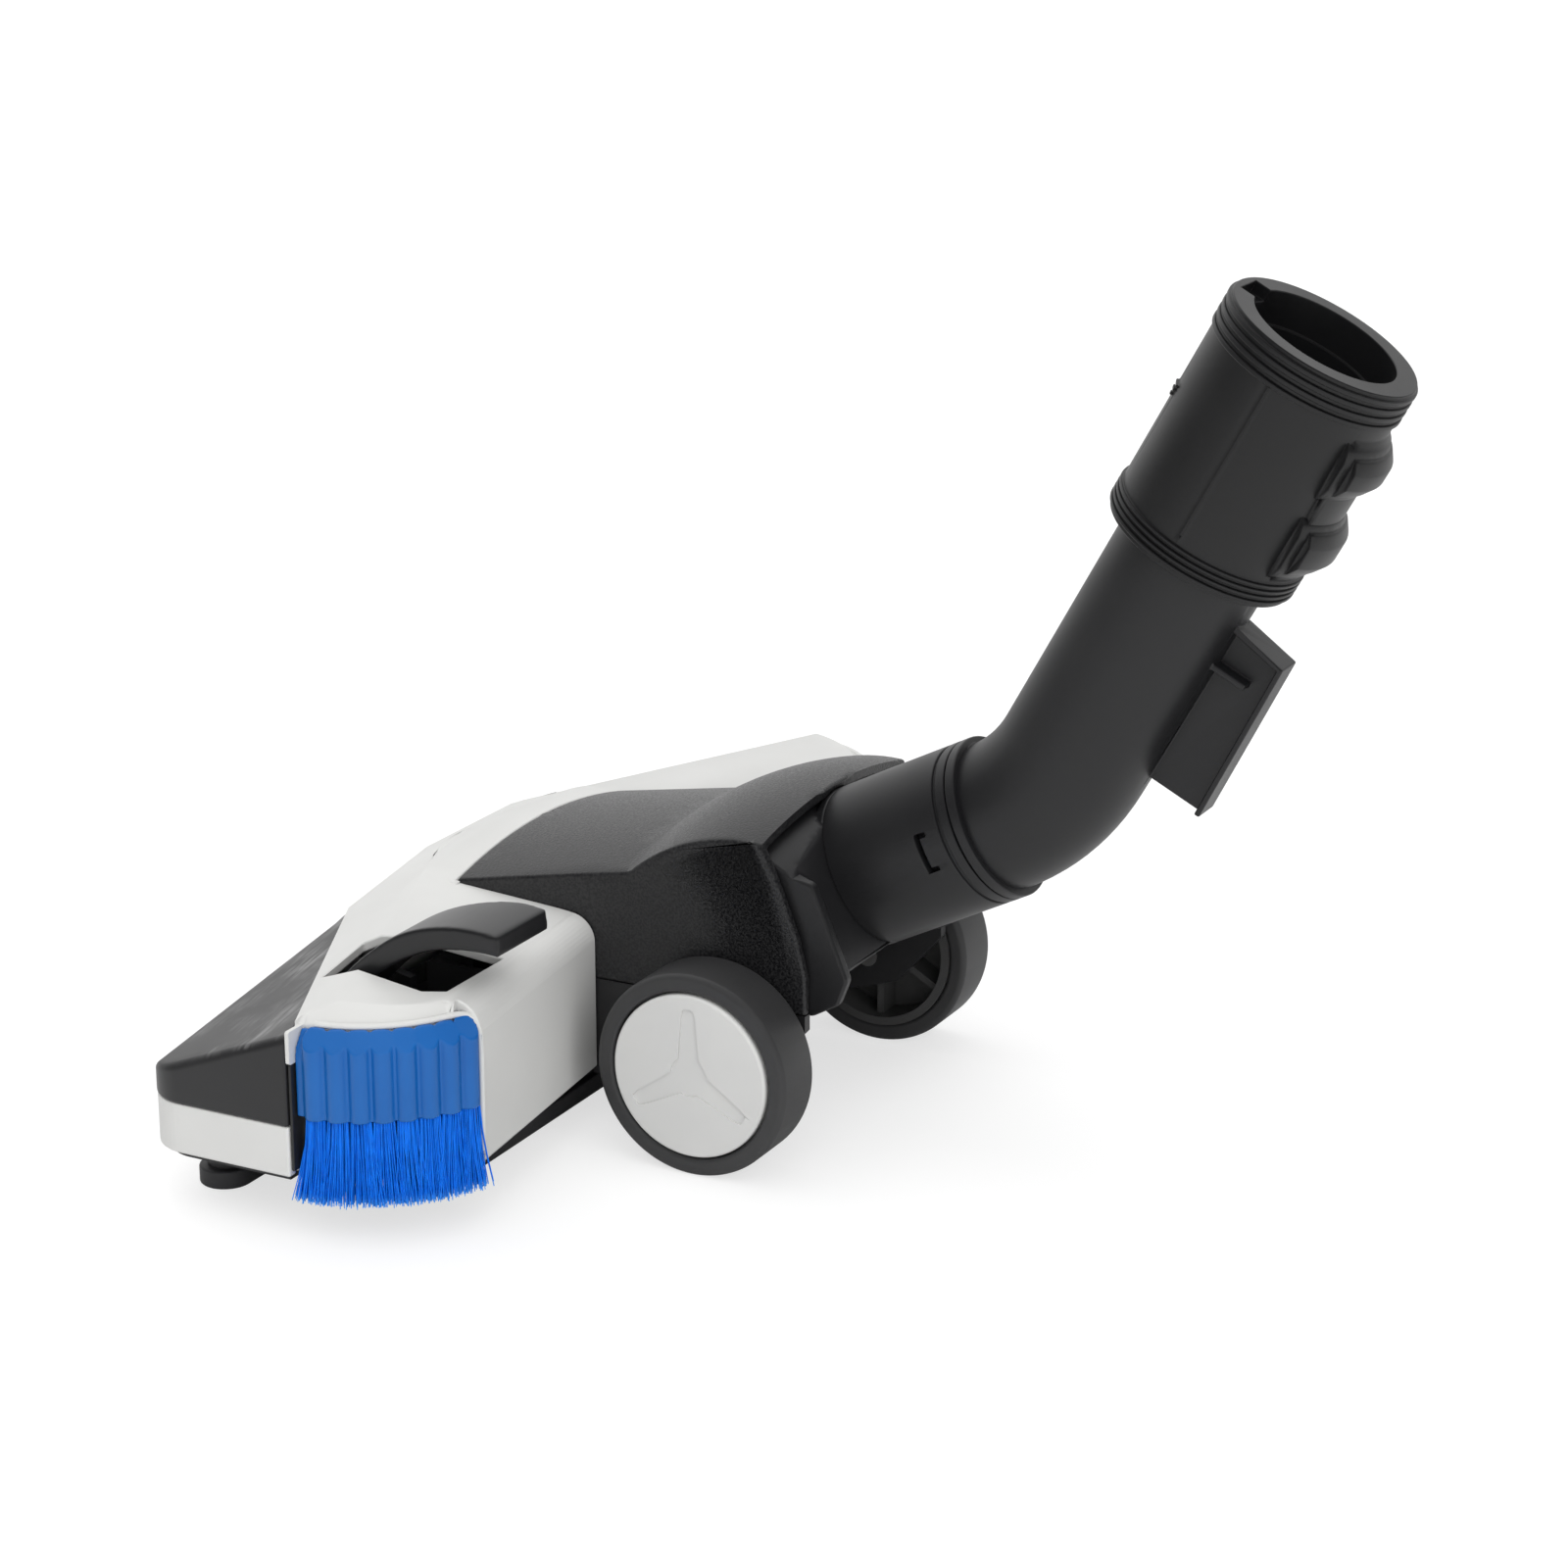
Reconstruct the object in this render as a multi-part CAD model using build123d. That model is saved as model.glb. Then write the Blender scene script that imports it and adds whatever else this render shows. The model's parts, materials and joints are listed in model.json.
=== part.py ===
from build123d import *
import math
import os

# Vacuum floor brush head. Millimetres, +Z up, floor at Z = 0, front of the head towards -Y.
# Everything is drawn with Y = 0 on the wheel axis and moved once, by frame_shift, when it is written.

# Fits and walls
running_gap = 0.05
body_gap = 0.4
seat_gap = 0.15
bumper_gap = 0.3
wall = 2.5
bumper_wall = 3.0

# Head outline seen from above
end_x = 132.4
front_centre_y = -109.0
front_end_y = -106.0
front_corner_radius = 12.0
end_rear_y = -60.0
end_curve_mid = (124.1, -39.9)
end_curve_rear = (105.0, -27.6)
wing_rear_x = 103.0
wing_rear_y = -29.5
rear_centre_y = -40.4

# Head heights
skirt_bottom_z = 15.0
bumper_bottom_z = 27.5
wing_top_z = 54.0
wing_top_y = -36.0
wing_slope = 0.09
facet_point = (129.0, -100.5, 35.9)
facet_slope_x = 0.171
facet_slope_y = 0.39
facet_lift = 1.5
front_lean = 0.27
nose_point_z = 52.3
nose_slope = 0.42
nose_radius = 240.0
dome_top_z = 63.5
dome_radius = 159.0
dome_rear_y = -74.0
wing_round = 7.0

# Bumper rear edge seen from above
bumper_end_y = -63.8
bumper_round = 2.5
bumper_front_x = 51.7
bumper_centre_top_z = 47.0
bumper_front_y = front_centre_y + front_lean * (bumper_centre_top_z - skirt_bottom_z)
bumper_strip_y = bumper_front_y + 5.0

# Sole
sole_bottom_z = 13.0
sole_thick = 2.5
sole_inset = 3.3
mouth_front_y = -84.0
mouth_rear_y = -66.0
mouth_half_x = 95.0

# Side brushes at the two ends
holder_thick = 6.0
holder_bottom_z = 30.0
holder_front_y = -62.3
holder_ledge_z = 50.4
holder_tab_z = 43.0
rib_count = 8
rib_radius = 3.4
rib_depth = 1.3
rib_top_z = 45.2
rib_rise = 3.6
rib_run = 3.85
shoulder_z = 45.0
shoulder_rise = 4.5
shoulder_run = 3.0
lip_z = 51.0
lip_rise = 4.5
lip_run = 5.0
tuft_inset = 1.2
tuft_thick = 3.6
tuft_tip_z = 9.5

# Centre cover
cover_front_y = -75.0
cover_front_half = 41.5
cover_rear_half = 39.5
cover_narrow_y = -34.0
cover_bottom_z = 38.0
cover_wall = 2.2
cover_side_wall = 2.6
cover_front_z = 63.5
cover_slope = 0.171
cover_rim_y = 9.5
hump_axis_y = 5.3
hump_axis_z = 32.1
hump_radius = 52.2

# Tilt joint between head and neck
tilt_z = 50.0
tilt_pin_radius = 4.0
barrel_gap = 0.6
barrel_wall = 2.5
ear_thick = 3.1
ear_outer_x = cover_rear_half - cover_side_wall - body_gap
ear_inner_x = ear_outer_x - ear_thick
ear_corner = 2.5
neck_floor = 15.0

# Wheels
wheel_radius = 25.5
wheel_gap = 2.8
wheel_width = 16.4
wheel_inner_x = cover_rear_half + wheel_gap
wheel_outer_x = wheel_inner_x + wheel_width
cap_height = 3.0
hub_width = wheel_width - cap_height
tyre_inner_radius = 21.0
cap_radius = 20.5
axle_radius = 3.0
hub_radius = 7.0
axle_boss_radius = 6.5
spoke_count = 6
relief_reach = 17.0
relief_tip = 1.9
relief_base = 3.2
relief_hub = 5.0
relief_depth = 0.5

# Swivel sleeve and elbow
sleeve_y = 19.5
sleeve_z = 64.7
sleeve_pitch = 26.88
sleeve_radius = 20.26
sleeve_bore = 17.85
sleeve_length = 35.9
window_place = 26.0
window_length = 10.0
spigot_radius = 17.5
air_bore = 15.8
elbow_corner = 52.1
bend_radius = 45.0
tube_pitch = 61.14
tube_radius = 18.5
tube_length = 133.2

# Hose collar
collar_length = 58.0
collar_radius = 23.2
collar_rib_radius = 23.9
bump_height = 4.5
socket_radius = 17.5
socket_mouth_radius = 17.9
socket_mouth_depth = 8.5
socket_depth = 42.0

# Brush frame and pedal
strip_half_x = 118.0
strip_width = 13.0
strip_y = -97.1
rear_strip_half_x = 98.0
rear_strip_y = -53.0
strip_height = 4.6
bar_thick = 2.4
post_radius = 2.8
post_y = -94.5
post_top_z = 23.0
bridge_thick = 3.0
bridge_width = 7.8
bridge_half_x = 90.0
front_post_x = 78.0
rear_post_x = 66.0
pedal_axis_y = -69.0
pedal_axis_z = 46.0
pedal_pin_radius = 2.0
pedal_hub_radius = 4.6
pedal_outer_x = 100.0
pedal_inner_rear_x = 77.0
pedal_inner_front_x = 88.0
well_outer_x = 105.6
well_inner_x = 74.0
well_rear_y = -38.8
well_floor_z = 28.0
well_wall = 1.6
lug_thick = 2.4
lug_reach = 5.1

# Screws through the sole
screw_places = [(112, -80), (-112, -80), (54, -43.5), (-54, -43.5)]
screw_radius = 1.7
screw_head_radius = 3.4
screw_head_height = 1.6
screw_length = 14.0
boss_radius = 4.0

front_reach = -front_centre_y - seat_gap
rear_reach = 150.71
frame_shift = (front_reach - rear_reach) / 2.0

# Places clear of everything, for outlines that only have to reach past the head
clear_x = end_x + 30.0
clear_y = front_centre_y - 30.0
clear_size = 6 * end_x

standing = (Align.CENTER, Align.CENTER, Align.MIN)


def below(point, normal, inset=0.0):
    """A large block lying under a sloping plane that is lowered by inset along its normal."""
    up = Vector(*normal).normalized()
    plane = Plane(origin=Vector(*point) - up * inset, z_dir=up)
    return plane * Pos(0, 0, -clear_size / 4) * Box(clear_size, clear_size, clear_size / 2)


def slab_yz(points, half_width, centre_x=0.0):
    """A side-view outline given as (y, z) points, pulled out to both sides of centre_x."""
    side = Plane(origin=(centre_x, 0, 0), x_dir=(0, 1, 0), z_dir=(1, 0, 0))
    return extrude(side * make_face(Polyline(*points, close=True)), half_width, both=True)


def slab_xy(points, bottom, top):
    """A plan outline given as (x, y) points, standing between two heights."""
    return Pos(0, 0, bottom) * extrude(make_face(Polyline(*points, close=True)), top - bottom)


def both_sides(solid):
    """The solid and its mirror image in the middle plane of the head."""
    return solid, mirror(solid, about=Plane.YZ)


def outline(inset=0.0):
    """The plan outline of the head, drawn in by inset."""
    corner = (end_x, front_end_y)
    far_corner = (-end_x, front_end_y)
    step_x, step_y = wing_rear_x, wing_rear_y
    curve_x, curve_y = end_curve_rear
    mid_x, mid_y = end_curve_mid
    edges = [
        ThreePointArc(far_corner, (0, front_centre_y), corner),
        Line(corner, (end_x, end_rear_y)),
        ThreePointArc((end_x, end_rear_y), (mid_x, mid_y), (curve_x, curve_y)),
        Line((curve_x, curve_y), (step_x, step_y)),
        Line((step_x, step_y), (0, rear_centre_y)),
        Line((0, rear_centre_y), (-step_x, step_y)),
        Line((-step_x, step_y), (-curve_x, curve_y)),
        ThreePointArc((-curve_x, curve_y), (-mid_x, mid_y), (-end_x, end_rear_y)),
        Line((-end_x, end_rear_y), far_corner),
    ]
    face = make_face(edges)
    sharp = face.vertices().sort_by(Axis.Y)[0:2]
    face = fillet(sharp, front_corner_radius)
    if inset > 0:
        face = offset(face, -inset)
    return face


def upright(inset, bottom, top):
    """The plan outline drawn in by inset and standing between two heights."""
    return Pos(0, 0, bottom) * extrude(outline(inset), top - bottom)


def leaning(inset):
    """Everything behind the leaning front face, drawn in by inset."""
    return below((0, front_centre_y, skirt_bottom_z), (0, -1, front_lean), inset)


def head_form(plan_inset, top_inset, bottom=skirt_bottom_z, lift=0.0):
    """The outside form of the head, drawn in on its sides and lowered on its top."""
    block = upright(plan_inset, bottom, 90) & leaning(plan_inset)
    facet_x, facet_y, facet_z = facet_point
    facet_z = facet_z + lift
    wing = block & below((0, wing_top_y, wing_top_z), (0, wing_slope, 1), top_inset)
    wing = wing & below((facet_x, facet_y, facet_z), (facet_slope_x, -facet_slope_y, 1), top_inset)
    wing = wing & below((-facet_x, facet_y, facet_z), (-facet_slope_x, -facet_slope_y, 1), top_inset)
    crown = Pos(0, dome_rear_y - 100, dome_top_z - dome_radius) * Rot(90, 0, 0)
    dome = block & (crown * Cylinder(dome_radius - top_inset, 200))
    nose_up = Vector(0, -nose_slope, 1).normalized()
    nose_middle = Vector(0, front_centre_y, nose_point_z) - nose_up * nose_radius
    nose_axis = Plane(origin=nose_middle, x_dir=(1, 0, 0), z_dir=(0, 1, nose_slope))
    nose = nose_axis * Cylinder(nose_radius - top_inset, clear_size)
    nose_flat = below((0, front_centre_y, nose_point_z), (0, -nose_slope, 1), top_inset)
    return (wing & nose_flat) + (dome & nose)


def front_zone(grow=0.0):
    """The part of the head that the bumper covers, seen from above."""
    right = [(bumper_front_x, bumper_strip_y + grow), (bumper_front_x, bumper_front_y + grow),
             (end_x - 4.0, bumper_end_y + grow), (clear_x, bumper_end_y + grow), (clear_x, clear_y)]
    left = [(-x, y) for x, y in reversed(right)]
    zone = slab_xy(right + left, 0, 100)
    middle = Pos(0, front_centre_y, bumper_centre_top_z + grow + 40) * Box(2 * bumper_front_x, 60, 80)
    return zone - middle


def end_band(inner, outer=0.0, front_y=holder_front_y, bottom=0.0, top=90.0):
    """The strip of plan along the curved right end, between two insets of the outline."""
    strip = upright(outer, bottom, top) - upright(inner, bottom - 1, top + 1)
    rear_x = end_curve_rear[0] - 1.4
    keep = slab_xy([(rear_x - 9.0, front_y), (clear_x, front_y), (clear_x, 0), (rear_x, 0),
                    (rear_x, end_rear_y)], bottom - 1, top + 1)
    return strip & keep


end_curve = ThreePointArc((end_x, end_rear_y), end_curve_mid, end_curve_rear)
end_centre = end_curve.arc_center
end_radius = end_curve.radius
wing_run = math.atan2(wing_rear_y - rear_centre_y, wing_rear_x)


def wing_roll(inset=0.0):
    """What lies outside the round on the rear top edge of the right wing, drawn in by inset."""
    top_normal = Vector(0, wing_slope, 1).normalized()
    rear_normal = Vector(-math.sin(wing_run), math.cos(wing_run), 0)
    rear_point = Vector(wing_rear_x, wing_rear_y, 0)
    rise = (rear_point - Vector(0, wing_top_y, wing_top_z)).dot(top_normal)
    skew = top_normal.dot(rear_normal)
    down = (-wing_round - rise + skew * wing_round) / (1 - skew * skew)
    back = -wing_round - skew * down
    middle = rear_point + top_normal * down + rear_normal * back
    radius = wing_round - inset
    round_bar = Plane(origin=middle, z_dir=top_normal.cross(rear_normal)) * Cylinder(radius, clear_size)
    half = Pos(1.5 * end_x, 0, 0) * Box(3 * end_x, 3 * end_x, 3 * end_x)
    chord = below(tuple(middle + top_normal * radius), tuple(top_normal + rear_normal))
    return half - chord - round_bar


def end_cone(radius, height, rise, run):
    """A cone about the curved end of the head, with its radius given at one height."""
    slope = run / rise
    low, high = 6.0, 12.0
    cone = Cone(radius + low * slope, radius - high * slope, low + high, align=standing)
    return Pos(end_centre.X, end_centre.Y, height - low) * cone


# Upper housing: the pale shell, hollow, with pockets for the end brushes and an opening for the cover
holder_pocket = end_band(holder_thick + seat_gap, 0, holder_front_y - seat_gap)
holder_slot = end_band(holder_thick + seat_gap, 0, bumper_end_y + bumper_gap, 0, holder_tab_z)
holder_pocket = holder_pocket + holder_slot
holder_shell = end_band(holder_thick + seat_gap + wall, 0, bumper_end_y - 2)
inner_inset = bumper_wall + seat_gap
housing = head_form(0, 0, skirt_bottom_z, facet_lift) - front_zone(bumper_gap)
housing = housing + (head_form(inner_inset, inner_inset) & front_zone(bumper_gap))
lip_start_x = end_curve_rear[0] - 1.4
lip = slab_xy([(lip_start_x, bumper_end_y), (clear_x, bumper_end_y), (clear_x, 0), (lip_start_x, 0)],
              lip_z, lip_z + 2 * lip_rise)
lip = lip - end_cone(end_radius - holder_thick - seat_gap, lip_z, lip_rise, lip_run)
lip = lip - below((lip_start_x + lip_rise, 0, lip_z), (1, 0, 1))
for cut in both_sides(wing_roll()) + both_sides(lip):
    housing = housing - cut
cavity = head_form(wall, wall, 0, facet_lift) - front_zone(wall)
cavity = cavity + head_form(inner_inset + wall, inner_inset + wall, 0)
lip_under = Pos(0, 0, -wall) * lip
for shell in both_sides(holder_shell) + both_sides(wing_roll(wall)) + both_sides(lip_under):
    cavity = cavity - shell
housing = housing - cavity
cover_opening = slab_xy([(cover_front_half + seat_gap, cover_front_y - seat_gap),
                         (cover_rear_half + seat_gap, cover_narrow_y), (cover_rear_half + seat_gap, 10),
                         (-cover_rear_half - seat_gap, 10), (-cover_rear_half - seat_gap, cover_narrow_y),
                         (-cover_front_half - seat_gap, cover_front_y - seat_gap)], 0, 100)
for x, y in screw_places:
    post = Pos(x, y, 0) * Cylinder(boss_radius, 90, align=standing)
    room = head_form(inner_inset + 1, 1, sole_bottom_z + sole_thick) - front_zone(wall)
    room = room + head_form(inner_inset + 1, inner_inset + 1, sole_bottom_z + sole_thick)
    housing = housing + (post & room)
housing = housing - cover_opening
for pocket in both_sides(holder_pocket):
    housing = housing - pocket
pedal_front_y = pedal_axis_y - pedal_hub_radius - 0.7
opening_rear_y = well_rear_y - well_wall
opening_inner_x = well_inner_x + 2.0
pedal_opening = slab_xy([(pedal_outer_x + 1.5, pedal_front_y), (well_outer_x - well_wall, well_rear_y - 6),
                         (well_outer_x - 5, opening_rear_y), (opening_inner_x, opening_rear_y),
                         (opening_inner_x, pedal_axis_y + 9), (pedal_inner_front_x - 4, pedal_front_y)],
                        well_floor_z + 2, 100)
housing = housing - pedal_opening
for x, y in screw_places:
    housing = housing - Pos(x, y, sole_bottom_z + sole_thick + screw_length / 2) * Cylinder(
        screw_radius + running_gap, screw_length)
under_sole = Pos(0, 0, sole_bottom_z + sole_thick - 20) * Box(clear_size, clear_size, 40)
housing = housing - (under_sole & upright(inner_inset - 0.2, 0, 60))

# Front bumper: the dark strip that wraps the front and the two ends
bumper = (head_form(0, 0, bumper_bottom_z) & front_zone()) - head_form(bumper_wall, bumper_wall, 0)


def on_facet(place):
    """Tells whether a place lies on one of the two sloping facets of the head."""
    facet_x, facet_y, facet_z = facet_point
    height = facet_z - facet_slope_x * (abs(place.X) - facet_x) + facet_slope_y * (place.Y - facet_y)
    return abs(place.Z - height) < 0.01


facet_edges = []
for edge in bumper.edges():
    middle = edge @ 0.5
    outside = abs(middle.X) > end_x - bumper_wall / 2 or middle.Y < bumper_front_y
    if outside and on_facet(edge @ 0) and on_facet(middle) and edge.length > 2 * bumper_wall:
        facet_edges.append(edge)
bumper = fillet(facet_edges, bumper_round)

# Lower skirt: the pale strip under the bumper
skirt_zone = slab_xy([(-clear_x, bumper_end_y), (clear_x, bumper_end_y), (clear_x, clear_y),
                      (-clear_x, clear_y)], 0, 100)
skirt = upright(seat_gap, skirt_bottom_z, bumper_bottom_z - seat_gap) & leaning(seat_gap)
skirt = skirt - (upright(bumper_wall, 0, 60) & leaning(bumper_wall))
skirt = skirt & skirt_zone

# Sole plate: closes the head from below and holds the suction mouth
sole = upright(sole_inset, sole_bottom_z, sole_bottom_z + sole_thick)
for shell in both_sides(end_band(holder_thick + seat_gap + wall, 0, bumper_end_y - 2)):
    sole = sole - shell
sole = sole - Pos(0, (mouth_front_y + mouth_rear_y) / 2, sole_bottom_z) * extrude(
    SlotOverall(2 * mouth_half_x, mouth_rear_y - mouth_front_y).face(), 20, both=True)
for x, y in screw_places:
    sole = sole - Pos(x, y, sole_bottom_z) * Cylinder(screw_radius + running_gap, 20)
    head_room = Cylinder(screw_head_radius + seat_gap, 2 * screw_head_height + 0.1)
    sole = sole - Pos(x, y, sole_bottom_z) * head_room
post_places = [(front_post_x, post_y), (-front_post_x, post_y),
               (rear_post_x, rear_strip_y), (-rear_post_x, rear_strip_y)]
for x, y in post_places:
    sole = sole - Pos(x, y, sole_bottom_z) * Cylinder(post_radius + body_gap, 20)
chassis_front_y = -37.5
sole = sole - Pos(0, chassis_front_y + 20, sole_bottom_z) * Box(2 * cover_rear_half + 0.6, 40, 20)

# Chassis: floor and side walls between the wheels, carrying the axle pins
chassis_rear_y = -14.0
wall_front_y = cover_front_y + 3.0
wall_rear_y = 21.3
wall_points = [(wall_front_y, sole_bottom_z + sole_thick), (chassis_front_y, sole_bottom_z + sole_thick),
               (chassis_front_y, sole_bottom_z), (chassis_rear_y, sole_bottom_z),
               (2, wheel_radius - axle_boss_radius - 1.5), (9, wheel_radius - axle_boss_radius + 1),
               (wall_rear_y, cover_bottom_z - 4), (wall_rear_y, cover_bottom_z),
               (wall_front_y, cover_bottom_z)]
side_middle_x = cover_rear_half - cover_side_wall / 2
chassis_wall = slab_yz(wall_points, cover_side_wall / 2, side_middle_x)
boss_length = wheel_inner_x - body_gap - (cover_rear_half - cover_side_wall)
boss_middle_x = wheel_inner_x - body_gap - boss_length / 2
axle_boss = Pos(boss_middle_x, 0, wheel_radius) * Rot(0, 90, 0) * Cylinder(axle_boss_radius, boss_length)
chassis = Pos(0, (chassis_front_y + chassis_rear_y) / 2, sole_bottom_z + sole_thick / 2) * Box(
    2 * cover_rear_half, chassis_rear_y - chassis_front_y, sole_thick)
for piece in both_sides(chassis_wall):
    chassis = chassis + piece
for piece in both_sides(axle_boss):
    chassis = chassis + piece
chassis = chassis - Pos(0, 0, wheel_radius) * Rot(0, 90, 0) * Cylinder(axle_radius, 200)

# Centre cover: flat front, hump over the tilt joint, hollow, open at the back and below


def crowned_barrel(axis_y, axis_z, radius, half_x):
    """A barrel about a line across the head, crowned as the nose is."""
    drop = half_x * half_x / (2 * dome_radius)
    front = Plane(origin=(0, axis_y, axis_z), x_dir=(1, 0, 0), z_dir=(0, -1, 0))
    edges = [Line((-half_x, 0), (half_x, 0)), Line((half_x, 0), (half_x, radius - drop)),
             ThreePointArc((half_x, radius - drop), (0, radius), (-half_x, radius - drop)),
             Line((-half_x, radius - drop), (-half_x, 0))]
    return revolve(front * make_face(edges), Axis((0, axis_y, axis_z), (1, 0, 0)))


def cover_block(inset, side_inset):
    """The crowned front part of the cover, drawn in by inset."""
    top = cover_front_z - inset
    half = 60.0
    drop = half * half / (2 * dome_radius)
    start = Plane(origin=(0, cover_front_y + inset, 0), x_dir=(1, 0, 0), z_dir=(0, -1, 0))
    rise = cover_slope * inset
    edges = [Line((-half, 0), (half, 0)), Line((half, 0), (half, top + rise - drop)),
             ThreePointArc((half, top + rise - drop), (0, top + rise), (-half, top + rise - drop)),
             Line((-half, top + rise - drop), (-half, 0))]
    run = -cover_front_y - inset
    block = extrude(start * make_face(edges), run * math.hypot(1, cover_slope), dir=(0, 1, cover_slope))
    front_half = cover_front_half - side_inset
    rear_half = cover_rear_half - side_inset
    plan = slab_xy([(front_half, cover_front_y + inset), (rear_half, cover_narrow_y), (rear_half, 40),
                    (-rear_half, 40), (-rear_half, cover_narrow_y), (-front_half, cover_front_y + inset)],
                   0, 120)
    hump = crowned_barrel(hump_axis_y, hump_axis_z, hump_radius - inset, 60.0)
    return (block + hump) & plan


cover_side = slab_yz([(cover_front_y, cover_bottom_z), (wall_rear_y, cover_bottom_z),
                      (wall_rear_y, tilt_z - 2.5), (19, tilt_z + 7), (15.3, tilt_z + 16.5),
                      (11.8, tilt_z + 24.5), (cover_rim_y, tilt_z + 28), (cover_rim_y, 100),
                      (cover_front_y, 100)], 60)
cover = cover_block(0, 0) & cover_side
cover = cover - cover_block(cover_wall, cover_side_wall)
sleeve_run = (0, math.cos(math.radians(sleeve_pitch)), math.sin(math.radians(sleeve_pitch)))
sleeve_frame = Plane(origin=(0, sleeve_y, sleeve_z), x_dir=(1, 0, 0), z_dir=sleeve_run)
cover = cover - sleeve_frame * Cylinder(sleeve_radius + body_gap, 24)
cover = cover - Pos(0, 0, tilt_z) * Rot(0, 90, 0) * Cylinder(
    tilt_pin_radius + running_gap, 2 * (cover_rear_half - 0.9))

# Side brush holders: blue fluted blocks under the lip at each end, with a tuft strip below
holder = end_band(holder_thick, rib_depth + seat_gap, holder_front_y, holder_bottom_z, holder_ledge_z)
holder = holder & end_cone(end_radius - rib_depth - seat_gap, shoulder_z, shoulder_rise, shoulder_run) + (
    holder & upright(0, 0, shoulder_z))
rib_room = end_band(holder_thick, 0, holder_front_y, holder_bottom_z, holder_ledge_z)
for number in range(rib_count):
    spot = end_curve @ ((number + 0.5) / rib_count)
    outward = (spot - end_centre).normalized()
    middle = end_centre + outward * (end_radius - rib_radius - seat_gap)
    rib = Cylinder(rib_radius, holder_ledge_z - holder_bottom_z, align=standing)
    rib = Pos(middle.X, middle.Y, holder_bottom_z) * rib
    nose = middle + outward * rib_radius
    slant = below((nose.X, nose.Y, rib_top_z), (outward.X * rib_rise, outward.Y * rib_rise, rib_run))
    holder = holder + (rib & rib_room & slant)
tuft = end_band(tuft_inset + tuft_thick, tuft_inset, holder_front_y, tuft_tip_z, holder_bottom_z)

# Wheels: rubber tyre, spoked hub and pale cap on each side
tyre_width = wheel_outer_x - wheel_inner_x - 0.7
tyre_middle = wheel_inner_x + 0.3 + tyre_width / 2
tyre = Pos(tyre_middle, 0, wheel_radius) * Rot(0, 90, 0) * (
    fillet(Cylinder(wheel_radius, tyre_width).edges(), 1.6) - Cylinder(tyre_inner_radius, 60))
hub_middle = wheel_inner_x + hub_width / 2
hub = Cylinder(tyre_inner_radius, hub_width) - Pos(0, 0, -3) * Cylinder(tyre_inner_radius - 2.2, hub_width)
hub = hub + Cylinder(hub_radius, hub_width)
for number in range(spoke_count):
    hub = hub + Rot(0, 0, 360 / spoke_count * number) * Pos(13, 0, 1.5) * Box(14, 1.8, 10)
hub = hub - Pos(0, 0, -2.4) * Cylinder(axle_radius + running_gap, hub_width)
hub = Pos(hub_middle, 0, wheel_radius) * Rot(0, 90, 0) * hub
cap = Cylinder(cap_radius, cap_height, align=standing)
cap = fillet(cap.edges().sort_by(Axis.Z)[-1], 0.8)
arm_points = [(0, relief_base), (relief_reach - relief_tip, relief_tip), (relief_reach, relief_tip - 0.6),
              (relief_reach, 0.6 - relief_tip), (relief_reach - relief_tip, -relief_tip), (0, -relief_base)]
relief = Circle(relief_hub).face()
for number in range(3):
    relief = relief + Rot(0, 0, 120 * number + 180) * make_face(Polyline(*arm_points, close=True))
cap = cap - Pos(0, 0, cap_height - relief_depth) * extrude(relief, 2 * relief_depth)
cap = Pos(wheel_inner_x + hub_width, 0, wheel_radius) * Rot(0, 90, 0) * cap
axle_start = cover_rear_half - cover_side_wall
axle_pin = Pos((axle_start + wheel_inner_x + 10.5) / 2, 0, wheel_radius) * Rot(0, 90, 0) * Cylinder(
    axle_radius, wheel_inner_x + 10.5 - axle_start)

# Neck yoke: visor-like barrel with two ears and a back plate, turning about the tilt pins
under = (0, math.sin(math.radians(sleeve_pitch)), -math.cos(math.radians(sleeve_pitch)))
hump_reach = hump_radius - math.hypot(hump_axis_y, tilt_z - hump_axis_z)
barrel_radius = hump_reach - cover_wall - barrel_gap
outer_barrel = crowned_barrel(0, tilt_z, barrel_radius, ear_outer_x)
inner_barrel = crowned_barrel(0, tilt_z, barrel_radius - barrel_wall, ear_inner_x)
neck_keep = below((0, neck_floor * under[1], tilt_z + neck_floor * under[2]), under)
neck_front = sleeve_frame * Pos(0, 0, -200) * Box(400, 400, 400)
inside_floor = neck_floor - barrel_wall
neck_inside = below((0, inside_floor * under[1], tilt_z + inside_floor * under[2]), under)
neck_front_inside = sleeve_frame * Pos(0, 0, -203) * Box(400, 400, 400)
yoke = (outer_barrel & neck_keep & neck_front) - (inner_barrel & neck_inside & neck_front_inside)
yoke = yoke - Pos(0, -30, tilt_z - 31) * Box(200, 40, 60)
ear_points = [(-6, tilt_z + 12), (8, tilt_z + 20.5), (13, tilt_z + 21.5), (21.5, tilt_z + 20.5),
              (31, tilt_z - 2.5), (28.5, tilt_z - 9), (21.5, tilt_z - 13), (0, tilt_z - 10),
              (-7, tilt_z - 4)]
ear = slab_yz(ear_points, ear_thick / 2, (ear_outer_x + ear_inner_x) / 2)
ear = fillet(ear.edges().filter_by(Axis.X).sort_by(Axis.Y)[-4:], ear_corner)
for piece in both_sides(ear):
    yoke = yoke + piece
trunnion_end_x = cover_rear_half - 1.2
tilt_pin = Pos((ear_outer_x + trunnion_end_x) / 2, 0, tilt_z) * Rot(0, 90, 0) * Cylinder(
    tilt_pin_radius, trunnion_end_x - ear_outer_x)
for piece in both_sides(tilt_pin):
    yoke = yoke + piece
yoke = yoke + sleeve_frame * Pos(0, 0, -1.5) * Cylinder(sleeve_radius, 3)
yoke = yoke - sleeve_frame * Cylinder(spigot_radius + 1.6, 20)

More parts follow.
